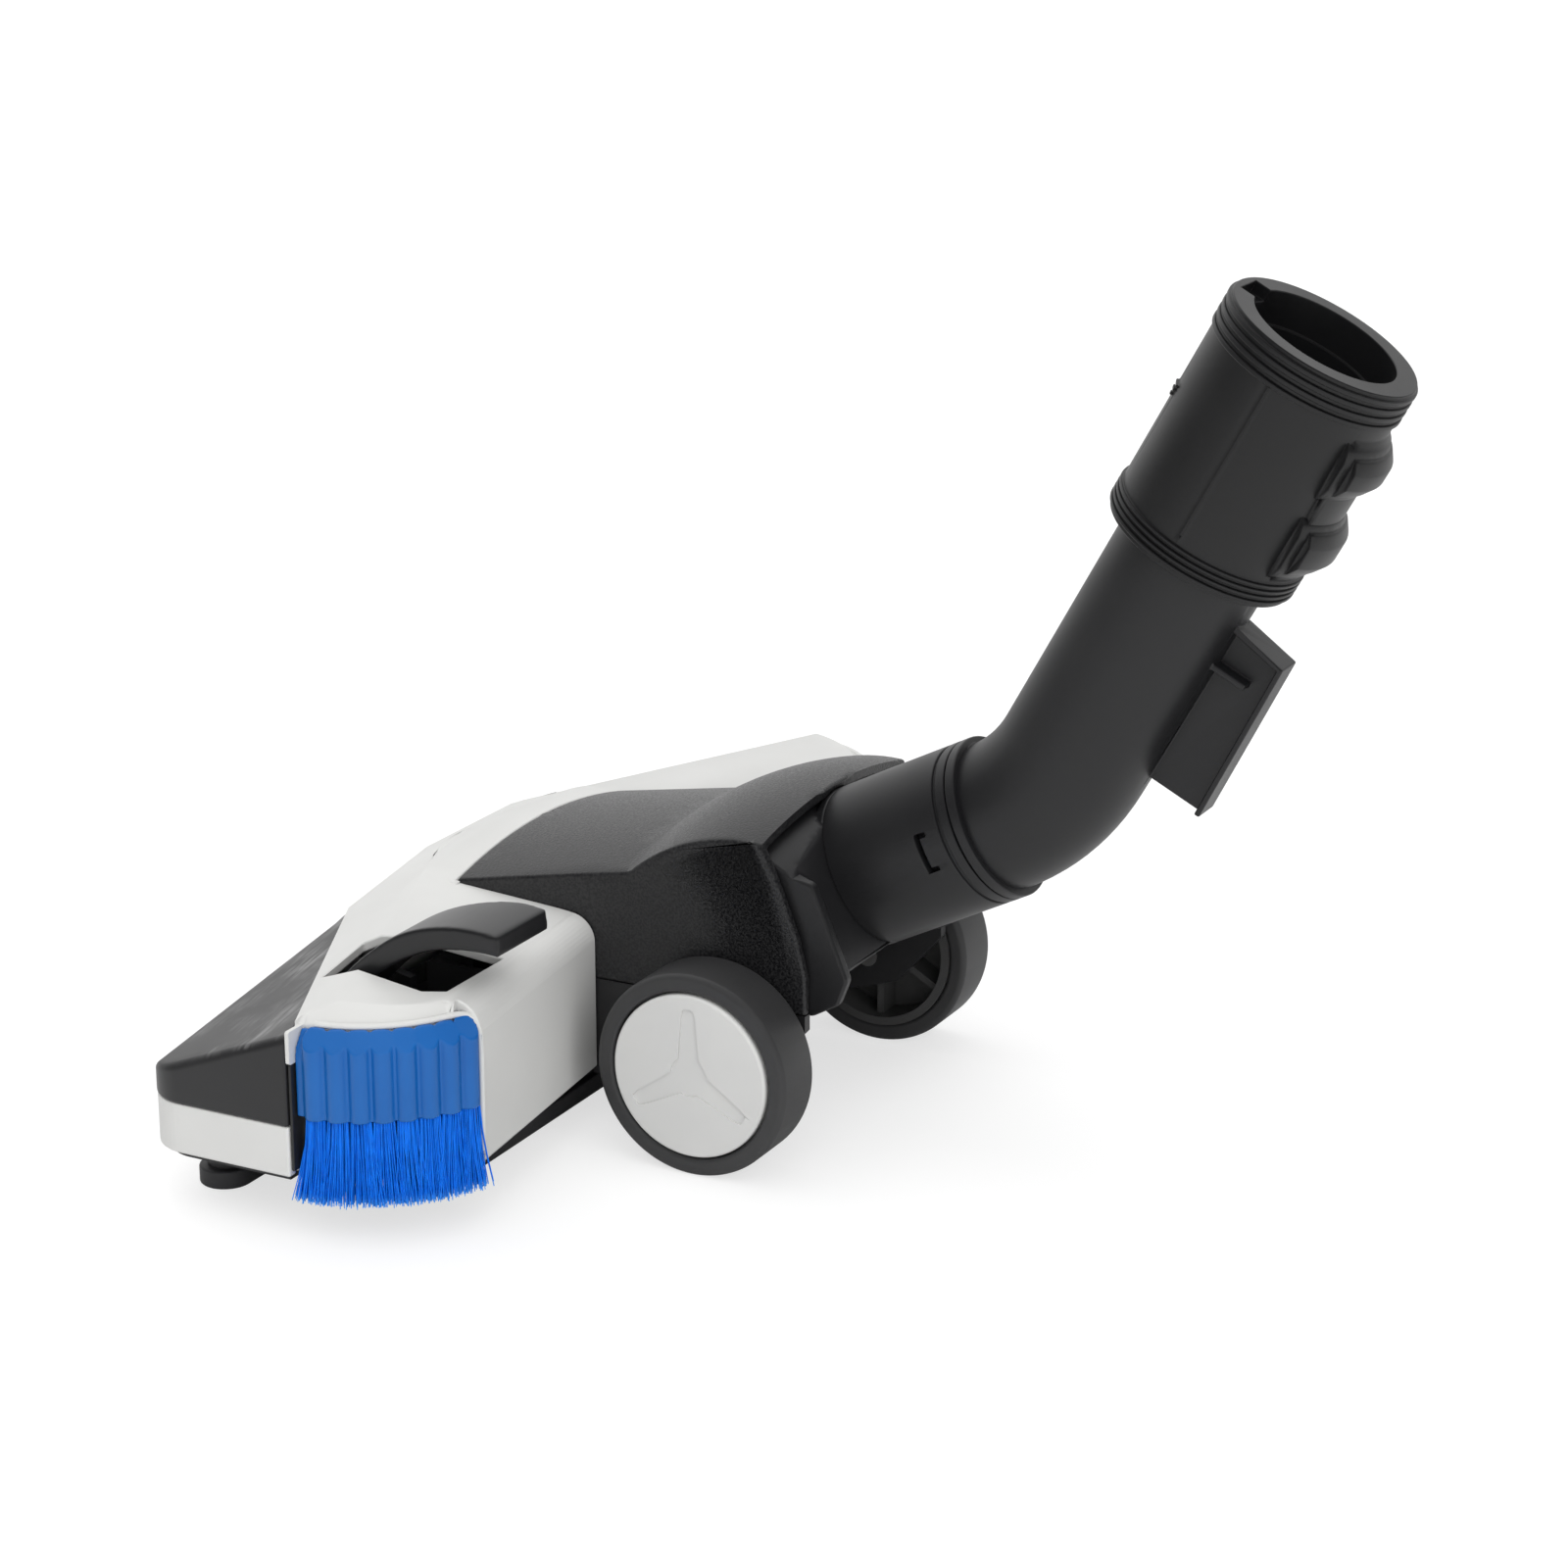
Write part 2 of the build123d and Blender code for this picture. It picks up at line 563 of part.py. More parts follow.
# Swivel sleeve: fixed to the back plate of the yoke, with a snap window on each side
sleeve = sleeve_frame * (Pos(0, 0, sleeve_length / 2) * Cylinder(sleeve_radius, sleeve_length)
                         - Pos(0, 0, sleeve_length / 2) * Cylinder(sleeve_bore, sleeve_length + 2))
window = Box(60, window_length, 1.3)
for place in (window_length / 2 - 0.65, 0.65 - window_length / 2):
    window = window + Pos(0, place, 1.2) * Box(60, 1.3, 2.6)
sleeve = sleeve - sleeve_frame * Pos(0, 0, window_place) * window
groove = Cylinder(sleeve_radius + 2, 0.9) - Cylinder(sleeve_radius - 0.7, 0.9)
sleeve = sleeve - sleeve_frame * Pos(0, 0, sleeve_length - 3.0) * groove

# Elbow: spigot in the sleeve, flange, bend and straight tube with the fin behind
bend_angle = tube_pitch - sleeve_pitch
tangent = bend_radius * math.tan(math.radians(bend_angle / 2))
bend_start = elbow_corner - tangent
tube_run = (0, math.cos(math.radians(tube_pitch)), math.sin(math.radians(tube_pitch)))
corner = sleeve_frame.origin + Vector(*sleeve_run) * elbow_corner
tube_frame = Plane(origin=corner + Vector(*tube_run) * tangent, x_dir=(1, 0, 0), z_dir=tube_run)
bend_origin = sleeve_frame.origin + Vector(*sleeve_run) * bend_start
bend_plane = Plane(origin=bend_origin, x_dir=(1, 0, 0), z_dir=sleeve_run)
bend_centre = bend_plane.origin - Vector(*under) * bend_radius
bend_axis = Axis(tuple(bend_centre), (1, 0, 0))
straight_length = tube_length - tangent - socket_depth - 2.0
ring_gap = 0.3


def elbow_run(radius, spigot, start):
    """The tube run of the elbow at one radius, with its own spigot radius."""
    solid = sleeve_frame * Pos(0, 0, (start + bend_start) / 2) * Cylinder(spigot, bend_start - start)
    solid = solid + revolve(bend_plane * Circle(radius).face(), bend_axis, bend_angle)
    return solid + tube_frame * Pos(0, 0, straight_length / 2) * Cylinder(radius, straight_length)


elbow = elbow_run(tube_radius, spigot_radius, -2.6)
flange_start = sleeve_length + ring_gap
elbow = elbow + sleeve_frame * Pos(0, 0, (flange_start + bend_start + 0.6) / 2) * Cylinder(
    sleeve_radius, bend_start + 0.6 - flange_start)
fin_root = tube_radius - 1.5
fin_plane = Plane(origin=tube_frame.origin, x_dir=tube_run, z_dir=(-1, 0, 0))
fin_plate = [(51.1, fin_root + 0.8), (49.3, fin_root + 14.8), (7.6, fin_root + 16.2),
             (7.1, fin_root), (1.6, fin_root - 4.9), (44.1, fin_root - 6.6)]
fin_rim = [(51.9, fin_root + 0.9), (49.9, fin_root + 15.4), (7.6, fin_root + 16.9),
           (7.5, fin_root + 15.5), (48.7, fin_root + 14.1), (50.5, fin_root + 0.7)]
fin_rib = [(41.5, fin_root - 4.1), (41.8, fin_root + 10.0),
           (40.2, fin_root + 10.0), (39.8, fin_root - 4.1)]
for points, half_width in ((fin_plate, 1.5), (fin_rim, 4.6), (fin_rib, 5.0)):
    fin = make_face(Polyline(*points, close=True))
    elbow = elbow + extrude(fin_plane * fin, half_width, both=True)
elbow = elbow - elbow_run(air_bore, air_bore, -10)
ring_core = Cylinder(spigot_radius - 0.7, 1.0)
elbow = elbow - sleeve_frame * Pos(0, 0, -1.5) * (Cylinder(spigot_radius + 3, 1.0) - ring_core)
swivel_ring = sleeve_frame * Pos(0, 0, -1.5) * (Cylinder(spigot_radius + 1.2, 1.0) - ring_core)

# Hose collar: ribbed grip on the tube with the socket for the wand
collar_frame = Plane(origin=corner + Vector(*tube_run) * tube_length, x_dir=(1, 0, 0), z_dir=tube_run)
collar = Pos(0, 0, -collar_length / 2) * Cylinder(collar_radius, collar_length)
rib_pitch = 2.2
for start in (-1.6, -collar_length + 1.6 + 3 * 1.5):
    step = rib_pitch if start > -10 else 1.5
    for number in range(4):
        collar = collar + Pos(0, 0, start - step * number) * Cylinder(collar_rib_radius, step * 0.55)
side = Plane(origin=(0, 0, 0), x_dir=(0, 1, 0), z_dir=(1, 0, 0))
for top, low in ((-13.0, -28.0), (-33.0, -49.5)):
    for height, spread, trim in ((0.55 * bump_height, 34.0, 0.0), (bump_height, 28.0, 1.6)):
        high, deep = top - trim, low + trim
        low_step = collar_radius + 0.6 * height
        points = [(collar_radius - 1, deep), (collar_radius, deep), (low_step, deep + 1.2),
                  (collar_radius + height, deep + 4.0), (collar_radius + height, high - 4.0),
                  (low_step, high - 1.2), (collar_radius, high), (collar_radius - 1, high)]
        bump = revolve(side * make_face(Polyline(*points, close=True)), Axis.Z, 2 * spread)
        collar = collar + Rot(0, 0, -spread) * bump
plinth_top = collar_radius + 1.2
plinth = side * make_face(Polyline(
    (collar_radius - 1, -50.5), (collar_radius, -50.5), (plinth_top, -48.5), (plinth_top, -14),
    (collar_radius, -12), (collar_radius - 1, -12), close=True))
collar = collar + Rot(0, 0, -30) * revolve(plinth, Axis.Z, 60)
for number in range(3):
    mark = Pos(0, collar_radius, -25.5 - 1.3 * number) * Box(4.4 - 1.4 * number, 1.2, 0.7)
    collar = collar + Rot(0, 0, -158) * mark
ridge = Pos(0, collar_radius, -collar_length / 2) * Box(0.5, 0.3, collar_length - 18)
collar = collar + Rot(0, 0, -90) * ridge
collar = collar - Pos(0, 0, -collar_length / 2) * Cylinder(socket_radius, collar_length + 2)
collar = collar - Pos(0, 0, -socket_mouth_depth / 2) * Cylinder(socket_mouth_radius, socket_mouth_depth)
collar = collar - Pos(0, 0, -socket_depth - 1.9 - 20) * Cylinder(tube_radius, 40)
collar = collar - Pos(0, -(socket_radius + 0.4), 0) * Box(9.5, 6.6, 6)
collar = collar_frame * collar

# Brush frame: two strips that rest on the floor, hung on posts that pass through the sole
front_strip = Pos(0, strip_y, 0) * extrude(SlotOverall(2 * strip_half_x, strip_width).face(), strip_height)
rear_strip = SlotOverall(2 * rear_strip_half_x, strip_width).face()
rear_strip = Pos(0, rear_strip_y, 0) * extrude(rear_strip, strip_height)
post_length = post_top_z + bridge_thick - strip_height


def brush_bar(half_x, y, post_x, post_line_y):
    """A bar on top of one strip with its two guide posts."""
    bar = Pos(0, y, strip_height) * extrude(SlotOverall(2 * half_x - 4, strip_width - 4).face(), bar_thick)
    for x in (post_x, -post_x):
        bar = bar + Pos(x, post_line_y, strip_height + post_length / 2) * Cylinder(post_radius, post_length)
    return bar


front_bar = brush_bar(strip_half_x, strip_y, front_post_x, post_y)
rear_bar = brush_bar(rear_strip_half_x, rear_strip_y, rear_post_x, rear_strip_y)
bridge_y = post_y + 0.3
bridge_z = post_top_z + bridge_thick / 2
lift_bridge = Pos(0, bridge_y, bridge_z) * Box(2 * bridge_half_x, bridge_width, bridge_thick)
bridge_leg = Box(bridge_width, rear_strip_y - bridge_y + bridge_width, bridge_thick)
for x in (rear_post_x, -rear_post_x):
    lift_bridge = lift_bridge + Pos(x, (bridge_y + rear_strip_y) / 2, bridge_z) * bridge_leg
for x, y in post_places:
    lift_bridge = lift_bridge - Pos(x, y, post_top_z) * Cylinder(post_radius, 20)

# Pedal, its well and its pin
pedal_top = Spline((-73, 47.5), (-69, 53.5), (-62, 60), (-54, 65.5), (-44, 69), (-34, 70), (-27, 69.3))
pedal_low = Spline((-26.5, 64.3), (-36, 64.5), (-46, 62.5), (-55, 58), (-62, 52.5), (-66, 48), (-69, 44))
pedal_side = make_face([pedal_top, Line((-27, 69.3), (-26.5, 64.3)), pedal_low, Line((-69, 44), (-73, 47.5))])
pedal = extrude(side * pedal_side, 2 * pedal_outer_x)
pedal = pedal & slab_xy([(pedal_outer_x, -80), (pedal_outer_x, -20), (pedal_inner_rear_x, -20),
                         (pedal_inner_rear_x, -34), (pedal_inner_front_x, -80)], 0, 120)
hub_length = pedal_outer_x - pedal_inner_front_x
hub_middle_x = (pedal_outer_x + pedal_inner_front_x) / 2
pedal_turn = Pos(hub_middle_x, pedal_axis_y, pedal_axis_z) * Rot(0, 90, 0)
pedal = pedal + pedal_turn * Cylinder(pedal_hub_radius, hub_length)
arm_points = [(-72.5, 46), (-66, 43), (-84, 19), (-94, 19), (-94, 22.5), (-87.5, 22.5)]
pedal = pedal + slab_yz(arm_points, 3, pedal_outer_x - 13)
pedal = pedal - pedal_turn * Cylinder(pedal_pin_radius + running_gap, 60)
pin_start_x = pedal_inner_front_x - lug_reach - lug_thick
pin_end_x = pedal_outer_x + body_gap + lug_thick
pin_length = pin_end_x - pin_start_x
pedal_pin = Rot(0, 90, 0) * Cylinder(pedal_pin_radius, pin_length)
pedal_pin = Pos((pin_start_x + pin_end_x) / 2, pedal_axis_y, pedal_axis_z) * pedal_pin
well_top_z = 50.0
well_start_y = pedal_axis_y + 7.0
well = slab_xy([(well_inner_x, well_start_y), (well_outer_x, well_start_y), (well_outer_x, well_rear_y),
                (well_inner_x, well_rear_y)], well_floor_z, well_top_z)
room_inner_x = well_inner_x + well_wall
room_outer_x = well_outer_x - well_wall
well = well - slab_xy([(room_inner_x, -80), (room_outer_x, -80), (room_outer_x, opening_rear_y),
                       (room_inner_x, opening_rear_y)], well_floor_z + well_wall, 100)
lug_outer_x = pedal_outer_x + body_gap
lug_inner_x = pedal_inner_front_x - lug_reach - lug_thick
lug_points = [(well_start_y, well_floor_z), (well_start_y, 48), (pedal_axis_y, pedal_axis_z + 3.5),
              (pedal_axis_y - 3.5, pedal_axis_z), (pedal_axis_y - 3.5, 40), (well_start_y - 2, well_floor_z)]
gusset_points = [(well_start_y - 0.5, well_floor_z), (well_start_y + 12, well_floor_z),
                 (well_start_y + 12, well_floor_z + 2), (well_start_y - 0.5, 40)]
for x in (lug_inner_x + lug_thick / 2, lug_outer_x + lug_thick / 2):
    well = well + slab_yz(lug_points, lug_thick / 2, x)
    well = well + slab_yz(gusset_points, lug_thick / 2, x)
for number in range(6):
    rib_y = well_rear_y - 5.2 - 3.2 * number
    well = well + Pos(room_outer_x - 0.5, rib_y, 40) * Box(1.4, 1.2, 19)
well = well - pedal_turn * Cylinder(pedal_pin_radius, 60)

# Screws, thread lifters
screw = Cylinder(screw_radius, screw_length + sole_thick - screw_head_height, align=standing)
screw = Pos(0, 0, screw_head_height) * screw
screw = screw + Cylinder(screw_head_radius, screw_head_height, align=standing)
screws = Part()
for x, y in screw_places:
    screws = screws + Pos(x, y, sole_bottom_z) * screw
lifter_front = Pos(0, mouth_front_y - 3.4, sole_bottom_z - 0.6) * Box(2 * mouth_half_x - 12, 3.6, 1.2)
lifter_rear = Pos(0, mouth_rear_y + 3.2, sole_bottom_z - 0.6) * Box(2 * mouth_half_x - 12, 3.6, 1.2)

holder_right, holder_left = both_sides(holder)
tuft_right, tuft_left = both_sides(tuft)
parts = {
    "upper_housing": housing, "front_bumper": bumper, "lower_skirt": skirt, "sole_plate": sole,
    "chassis_frame": chassis, "centre_cover": cover,
    "side_brush_holder_right": holder_right, "side_brush_holder_left": holder_left,
    "side_bristles_right": tuft_right, "side_bristles_left": tuft_left,
    "neck_yoke": yoke, "swivel_sleeve": sleeve,
    "elbow_tube": elbow, "swivel_ring": swivel_ring, "hose_collar": collar,
    "front_brush_bar": front_bar, "rear_brush_bar": rear_bar, "lift_bridge": lift_bridge,
    "front_brush_strip": front_strip, "rear_brush_strip": rear_strip,
    "floor_pedal": pedal, "pedal_pin": pedal_pin, "pedal_well": well,
    "housing_screws": screws, "thread_lifter_front": lifter_front, "thread_lifter_rear": lifter_rear,
}
wheel_parts = {"wheel_tyre": tyre, "wheel_hub": hub, "wheel_cap": cap, "axle_pin": axle_pin}
for part_name, solid in wheel_parts.items():
    parts[part_name + "_right"], parts[part_name + "_left"] = both_sides(solid)

os.makedirs("parts", exist_ok=True)
for name, solid in parts.items():
    moved = Pos(0, frame_shift, 0) * solid
    export_step(moved, "parts/" + name + ".step")
    print(name, solid.is_valid, len(solid.solids()), [round(s.volume / 1000, 2) for s in solid.solids()])
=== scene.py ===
import json
import math
import random

import bmesh
import bpy
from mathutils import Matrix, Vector


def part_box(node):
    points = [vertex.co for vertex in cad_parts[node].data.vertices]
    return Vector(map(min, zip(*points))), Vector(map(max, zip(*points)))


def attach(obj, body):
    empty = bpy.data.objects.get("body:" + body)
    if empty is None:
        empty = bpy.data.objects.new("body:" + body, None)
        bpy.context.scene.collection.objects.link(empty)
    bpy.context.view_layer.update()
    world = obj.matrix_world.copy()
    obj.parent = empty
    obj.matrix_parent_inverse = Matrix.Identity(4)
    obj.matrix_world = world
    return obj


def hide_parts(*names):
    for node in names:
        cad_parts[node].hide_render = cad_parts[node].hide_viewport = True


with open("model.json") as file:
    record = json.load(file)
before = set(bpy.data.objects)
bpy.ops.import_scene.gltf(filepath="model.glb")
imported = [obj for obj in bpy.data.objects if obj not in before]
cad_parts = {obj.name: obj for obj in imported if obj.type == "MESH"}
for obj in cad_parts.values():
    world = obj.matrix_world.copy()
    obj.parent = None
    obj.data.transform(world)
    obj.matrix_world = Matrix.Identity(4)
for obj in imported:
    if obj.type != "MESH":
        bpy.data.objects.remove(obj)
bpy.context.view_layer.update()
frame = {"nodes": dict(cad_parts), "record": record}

# Studio: the viewpoint of the photograph, a white seamless floor and broad soft light.
# The air is brightest behind the head, as in a light tent, and two very wide lamps, one overhead
# and one beside the camera, fill the pale parts without showing in the dark ones.
scene = bpy.context.scene
scene.view_settings.view_transform = "Standard"
camera_data = bpy.data.cameras.new("studio_camera")
camera_data.sensor_width = 36.0
camera_data.lens = 83.93
camera_data.clip_start = 0.02
camera = bpy.data.objects.new("studio_camera", camera_data)
camera.location = (0.76567, 0.37357, 0.35143)
camera.rotation_euler = (math.radians(72.65), 0.0, math.radians(117.55))
scene.collection.objects.link(camera)
scene.camera = camera

world = bpy.data.worlds.new("studio_air")
world.use_nodes = True
scene.world = world
air_nodes = world.node_tree.nodes
air_links = world.node_tree.links
tent = air_nodes["Background"]
tent.inputs["Color"].default_value = (1.0, 1.0, 1.0, 1.0)
backdrop = air_nodes.new("ShaderNodeBackground")
backdrop.inputs["Color"].default_value = (1.0, 1.0, 1.0, 1.0)
backdrop.inputs["Strength"].default_value = 1.0
tent_side = air_nodes.new("ShaderNodeTexCoord")
tent_far = air_nodes.new("ShaderNodeVectorMath")
tent_far.operation = "DOT_PRODUCT"
tent_far.inputs[1].default_value = (-0.78, -0.38, 0.50)
tent_level = air_nodes.new("ShaderNodeMapRange")
tent_level.interpolation_type = "SMOOTHSTEP"
tent_level.inputs["From Min"].default_value = 0.2
tent_level.inputs["From Max"].default_value = 0.95
tent_level.inputs["To Min"].default_value = 0.17
tent_level.inputs["To Max"].default_value = 1.0
air_links.new(tent_side.outputs["Generated"], tent_far.inputs[0])
air_links.new(tent_far.outputs["Value"], tent_level.inputs["Value"])
air_links.new(tent_level.outputs["Result"], tent.inputs["Strength"])
ray = air_nodes.new("ShaderNodeLightPath")
seen_straight = air_nodes.new("ShaderNodeMath")
seen_straight.operation = "MAXIMUM"
air_links.new(ray.outputs["Is Camera Ray"], seen_straight.inputs[0])
air_links.new(ray.outputs["Is Transmission Ray"], seen_straight.inputs[1])
choose_air = air_nodes.new("ShaderNodeMixShader")
air_links.new(seen_straight.outputs[0], choose_air.inputs[0])
air_links.new(tent.outputs[0], choose_air.inputs[1])
air_links.new(backdrop.outputs[0], choose_air.inputs[2])
air_links.new(choose_air.outputs[0], air_nodes["World Output"].inputs["Surface"])

for lamp_name, energy, shines in (("lamp_overhead", 1.15, (-0.25, 0.25, -1.0)),
                                  ("lamp_beside_camera", 2.15, (-0.66, -0.62, -0.42))):
    lamp_data = bpy.data.lights.new(lamp_name, "SUN")
    lamp_data.energy = energy
    lamp_data.angle = math.radians(75.0)
    lamp = bpy.data.objects.new(lamp_name, lamp_data)
    lamp.rotation_euler = Vector(shines).to_track_quat("-Z", "Y").to_euler()
    lamp.visible_glossy = False
    scene.collection.objects.link(lamp)

floor_work = bmesh.new()
bmesh.ops.create_grid(floor_work, x_segments=1, y_segments=1, size=6.0)
floor_mesh = bpy.data.meshes.new("studio_floor")
floor_work.to_mesh(floor_mesh)
floor_work.free()
floor = bpy.data.objects.new("studio_floor", floor_mesh)
scene.collection.objects.link(floor)
floor_paint = bpy.data.materials.new("floor_paint")
floor_paint.use_nodes = True
floor_nodes = floor_paint.node_tree.nodes
floor_links = floor_paint.node_tree.links
floor_shader = floor_nodes["Principled BSDF"]
floor_shader.inputs["Base Color"].default_value = (0.80, 0.80, 0.80, 1.0)
floor_shader.inputs["Roughness"].default_value = 0.9
floor_shader.inputs["Specular IOR Level"].default_value = 0.1
floor_glow = floor_nodes.new("ShaderNodeEmission")
floor_glow.inputs["Color"].default_value = (1.0, 1.0, 1.0, 1.0)
floor_glow.inputs["Strength"].default_value = 0.66
floor_shade = floor_nodes.new("ShaderNodeBsdfDiffuse")
floor_shade.inputs["Color"].default_value = (0.40, 0.40, 0.40, 1.0)
floor_seen = floor_nodes.new("ShaderNodeAddShader")
floor_ray = floor_nodes.new("ShaderNodeLightPath")
floor_choice = floor_nodes.new("ShaderNodeMixShader")
floor_links.new(floor_shade.outputs[0], floor_seen.inputs[0])
floor_links.new(floor_glow.outputs[0], floor_seen.inputs[1])
floor_links.new(floor_ray.outputs["Is Camera Ray"], floor_choice.inputs[0])
floor_links.new(floor_shader.outputs[0], floor_choice.inputs[1])
floor_links.new(floor_seen.outputs[0], floor_choice.inputs[2])
floor_side = floor_nodes.new("ShaderNodeNewGeometry")
floor_below = floor_nodes.new("ShaderNodeBsdfTransparent")
floor_whole = floor_nodes.new("ShaderNodeMixShader")
floor_links.new(floor_side.outputs["Backfacing"], floor_whole.inputs[0])
floor_links.new(floor_choice.outputs[0], floor_whole.inputs[1])
floor_links.new(floor_below.outputs[0], floor_whole.inputs[2])
floor_links.new(floor_whole.outputs[0], floor_nodes["Material Output"].inputs["Surface"])
floor_mesh.materials.append(floor_paint)

# Upper housing: the pale shell of the head, injection moulded in satin ABS.
# It is screwed to the sole from below, and the cover, the bumper and the end brushes clip into it.
nodes_of = frame["nodes"]
body_names = {}
for body_name, members in frame["record"]["behaviour"]["bodies"].items():
    for member in members:
        body_names[member] = body_name
moulded_skin = bpy.data.node_groups.new("moulded_skin", "ShaderNodeTree")
for socket_name, start in (("Grain Scale", 2500.0), ("Cloud Scale", 30.0)):
    socket = moulded_skin.interface.new_socket(socket_name, in_out="INPUT", socket_type="NodeSocketFloat")
    socket.default_value = start
moulded_skin.interface.new_socket("Grain", in_out="OUTPUT", socket_type="NodeSocketFloat")
moulded_skin.interface.new_socket("Cloud", in_out="OUTPUT", socket_type="NodeSocketFloat")
skin_in = moulded_skin.nodes.new("NodeGroupInput")
skin_out = moulded_skin.nodes.new("NodeGroupOutput")
skin_place = moulded_skin.nodes.new("ShaderNodeTexCoord")
skin_grain = moulded_skin.nodes.new("ShaderNodeTexNoise")
skin_grain.inputs["Detail"].default_value = 2.0
skin_cloud = moulded_skin.nodes.new("ShaderNodeTexNoise")
skin_cloud.inputs["Detail"].default_value = 4.0
for texture, scale_name, out_name in ((skin_grain, "Grain Scale", "Grain"),
                                      (skin_cloud, "Cloud Scale", "Cloud")):
    moulded_skin.links.new(skin_place.outputs["Object"], texture.inputs["Vector"])
    moulded_skin.links.new(skin_in.outputs[scale_name], texture.inputs["Scale"])
    moulded_skin.links.new(texture.outputs["Fac"], skin_out.inputs[out_name])


def moulded_plastic(name, colour, cloud_colour, smooth, dull, grain_scale, grain_depth, cloud_scale=30.0):
    """A moulded plastic with a clouded colour, a clouded gloss and a fine grain on its skin."""
    material = bpy.data.materials.new(name)
    material.use_nodes = True
    nodes = material.node_tree.nodes
    links = material.node_tree.links
    shader = nodes["Principled BSDF"]
    skin = nodes.new("ShaderNodeGroup")
    skin.name = "skin"
    skin.node_tree = moulded_skin
    skin.inputs["Grain Scale"].default_value = grain_scale
    skin.inputs["Cloud Scale"].default_value = cloud_scale
    spread = nodes.new("ShaderNodeMapRange")
    spread.inputs["From Min"].default_value = 0.35
    spread.inputs["From Max"].default_value = 0.7
    tint = nodes.new("ShaderNodeMix")
    tint.name = "tint"
    tint.data_type = "RGBA"
    tint.inputs[6].default_value = (*colour, 1.0)
    tint.inputs[7].default_value = (*cloud_colour, 1.0)
    gloss = nodes.new("ShaderNodeMapRange")
    gloss.name = "gloss"
    gloss.inputs["From Min"].default_value = 0.3
    gloss.inputs["From Max"].default_value = 0.7
    gloss.inputs["To Min"].default_value = smooth
    gloss.inputs["To Max"].default_value = dull
    bump = nodes.new("ShaderNodeBump")
    bump.name = "bump"
    bump.inputs["Strength"].default_value = 1.0
    bump.inputs["Distance"].default_value = grain_depth
    links.new(skin.outputs["Cloud"], spread.inputs["Value"])
    links.new(spread.outputs["Result"], tint.inputs[0])
    links.new(tint.outputs[2], shader.inputs["Base Color"])
    links.new(skin.outputs["Cloud"], gloss.inputs["Value"])
    links.new(gloss.outputs["Result"], shader.inputs["Roughness"])
    links.new(skin.outputs["Grain"], bump.inputs["Height"])
    links.new(bump.outputs["Normal"], shader.inputs["Normal"])
    return material


weld_distance = 0.00001
flat_angle = math.radians(0.05)
sharp_angle = math.radians(28.0)
straight_turn = 0.05
tightest_turn = 2.6
face_room = 2.2
corner_room = 1.6


def dress(node_name, material):
    """Gives a CAD node its finish."""
    for slot in nodes_of[node_name].material_slots:
        slot.material = material


def merged_copy(node_name):
    """A copy of a CAD node with its triangles joined up into whole faces."""
    work = bmesh.new()
    work.from_mesh(nodes_of[node_name].data)
    bmesh.ops.remove_doubles(work, verts=work.verts, dist=weld_distance)
    bmesh.ops.dissolve_limit(work, angle_limit=flat_angle, verts=work.verts, edges=work.edges)
    return work


def room_beside(edge, face):
    """How far a face reaches away from one of its edges."""
    start = edge.verts[0].co
    along = (edge.verts[1].co - start).normalized()
    reach = 0.0
    for corner in face.verts:
        step = corner.co - start
        reach = max(reach, (step - along * along.dot(step)).length)
    return reach


def mark_edges(work, width):
    """Marks the sharp edges that have room for a rounding, and leaves out tight corners and slivers."""
    share = work.edges.layers.float.new("bevel_weight_edge")
    sharp = set()
    for edge in work.edges:
        if len(edge.link_faces) == 2 and edge.calc_face_angle() > sharp_angle:
            sharp.add(edge)
    for edge in sharp:
        room = min(room_beside(edge, face) for face in edge.link_faces)
        fits = room > face_room * width
        for corner in edge.verts:
            others = [other for other in corner.link_edges if other in sharp and other is not edge]
            for other in others:
                away = other.other_vert(corner).co - corner.co
                back = corner.co - edge.other_vert(corner).co
                turn = back.angle(away, 0.0)
                shortest = min(edge.calc_length(), other.calc_length())
                taken = corner_room * width * math.tan(min(turn, tightest_turn) / 2.0)
                if turn > straight_turn and shortest < taken:
                    fits = False
        edge[share] = 1.0 if fits else 0.0


def moulded_piece(work, node_name, material):
    """A new piece from a worked copy of a CAD node, all in one material."""
    mesh = bpy.data.meshes.new(node_name + "_moulded")
    work.to_mesh(mesh)
    work.free()
    mesh.materials.clear()
    mesh.materials.append(material)
    piece = bpy.data.objects.new(node_name + "_moulded", mesh)
    scene.collection.objects.link(piece)
    return piece


def stand_in(piece, node_name):
    """Puts a piece in the place of its CAD node, on the same body."""
    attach(piece, body_names[node_name])
    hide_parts(node_name)


def rounded_copy(node_name, material, width):
    """Puts a copy in the place of a CAD node, with its edges rounded as a mould leaves them."""
    work = merged_copy(node_name)
    mark_edges(work, width)
    piece = moulded_piece(work, node_name, material)
    piece.data.polygons.foreach_set("use_smooth", [True] * len(piece.data.polygons))
    piece.data.set_sharp_from_angle(angle=sharp_angle)
    rounding = piece.modifiers.new("edge_rounding", "BEVEL")
    rounding.width = width
    rounding.segments = 3
    rounding.limit_method = "WEIGHT"
    rounding.use_clamp_overlap = False
    rounding.harden_normals = True
    stand_in(piece, node_name)


shell_plastic = moulded_plastic(
    "shell_plastic", colour=(0.70, 0.70, 0.685), cloud_colour=(0.665, 0.665, 0.65),
    smooth=0.34, dull=0.44, grain_scale=4200.0, grain_depth=0.00001)
rounded_copy("upper_housing", shell_plastic, width=0.0006)

# Lower skirt: a narrow strip of the same pale plastic under the bumper.
# It is moulded apart from the shell and clipped on from below with the bumper.
rounded_copy("lower_skirt", shell_plastic, width=0.0006)

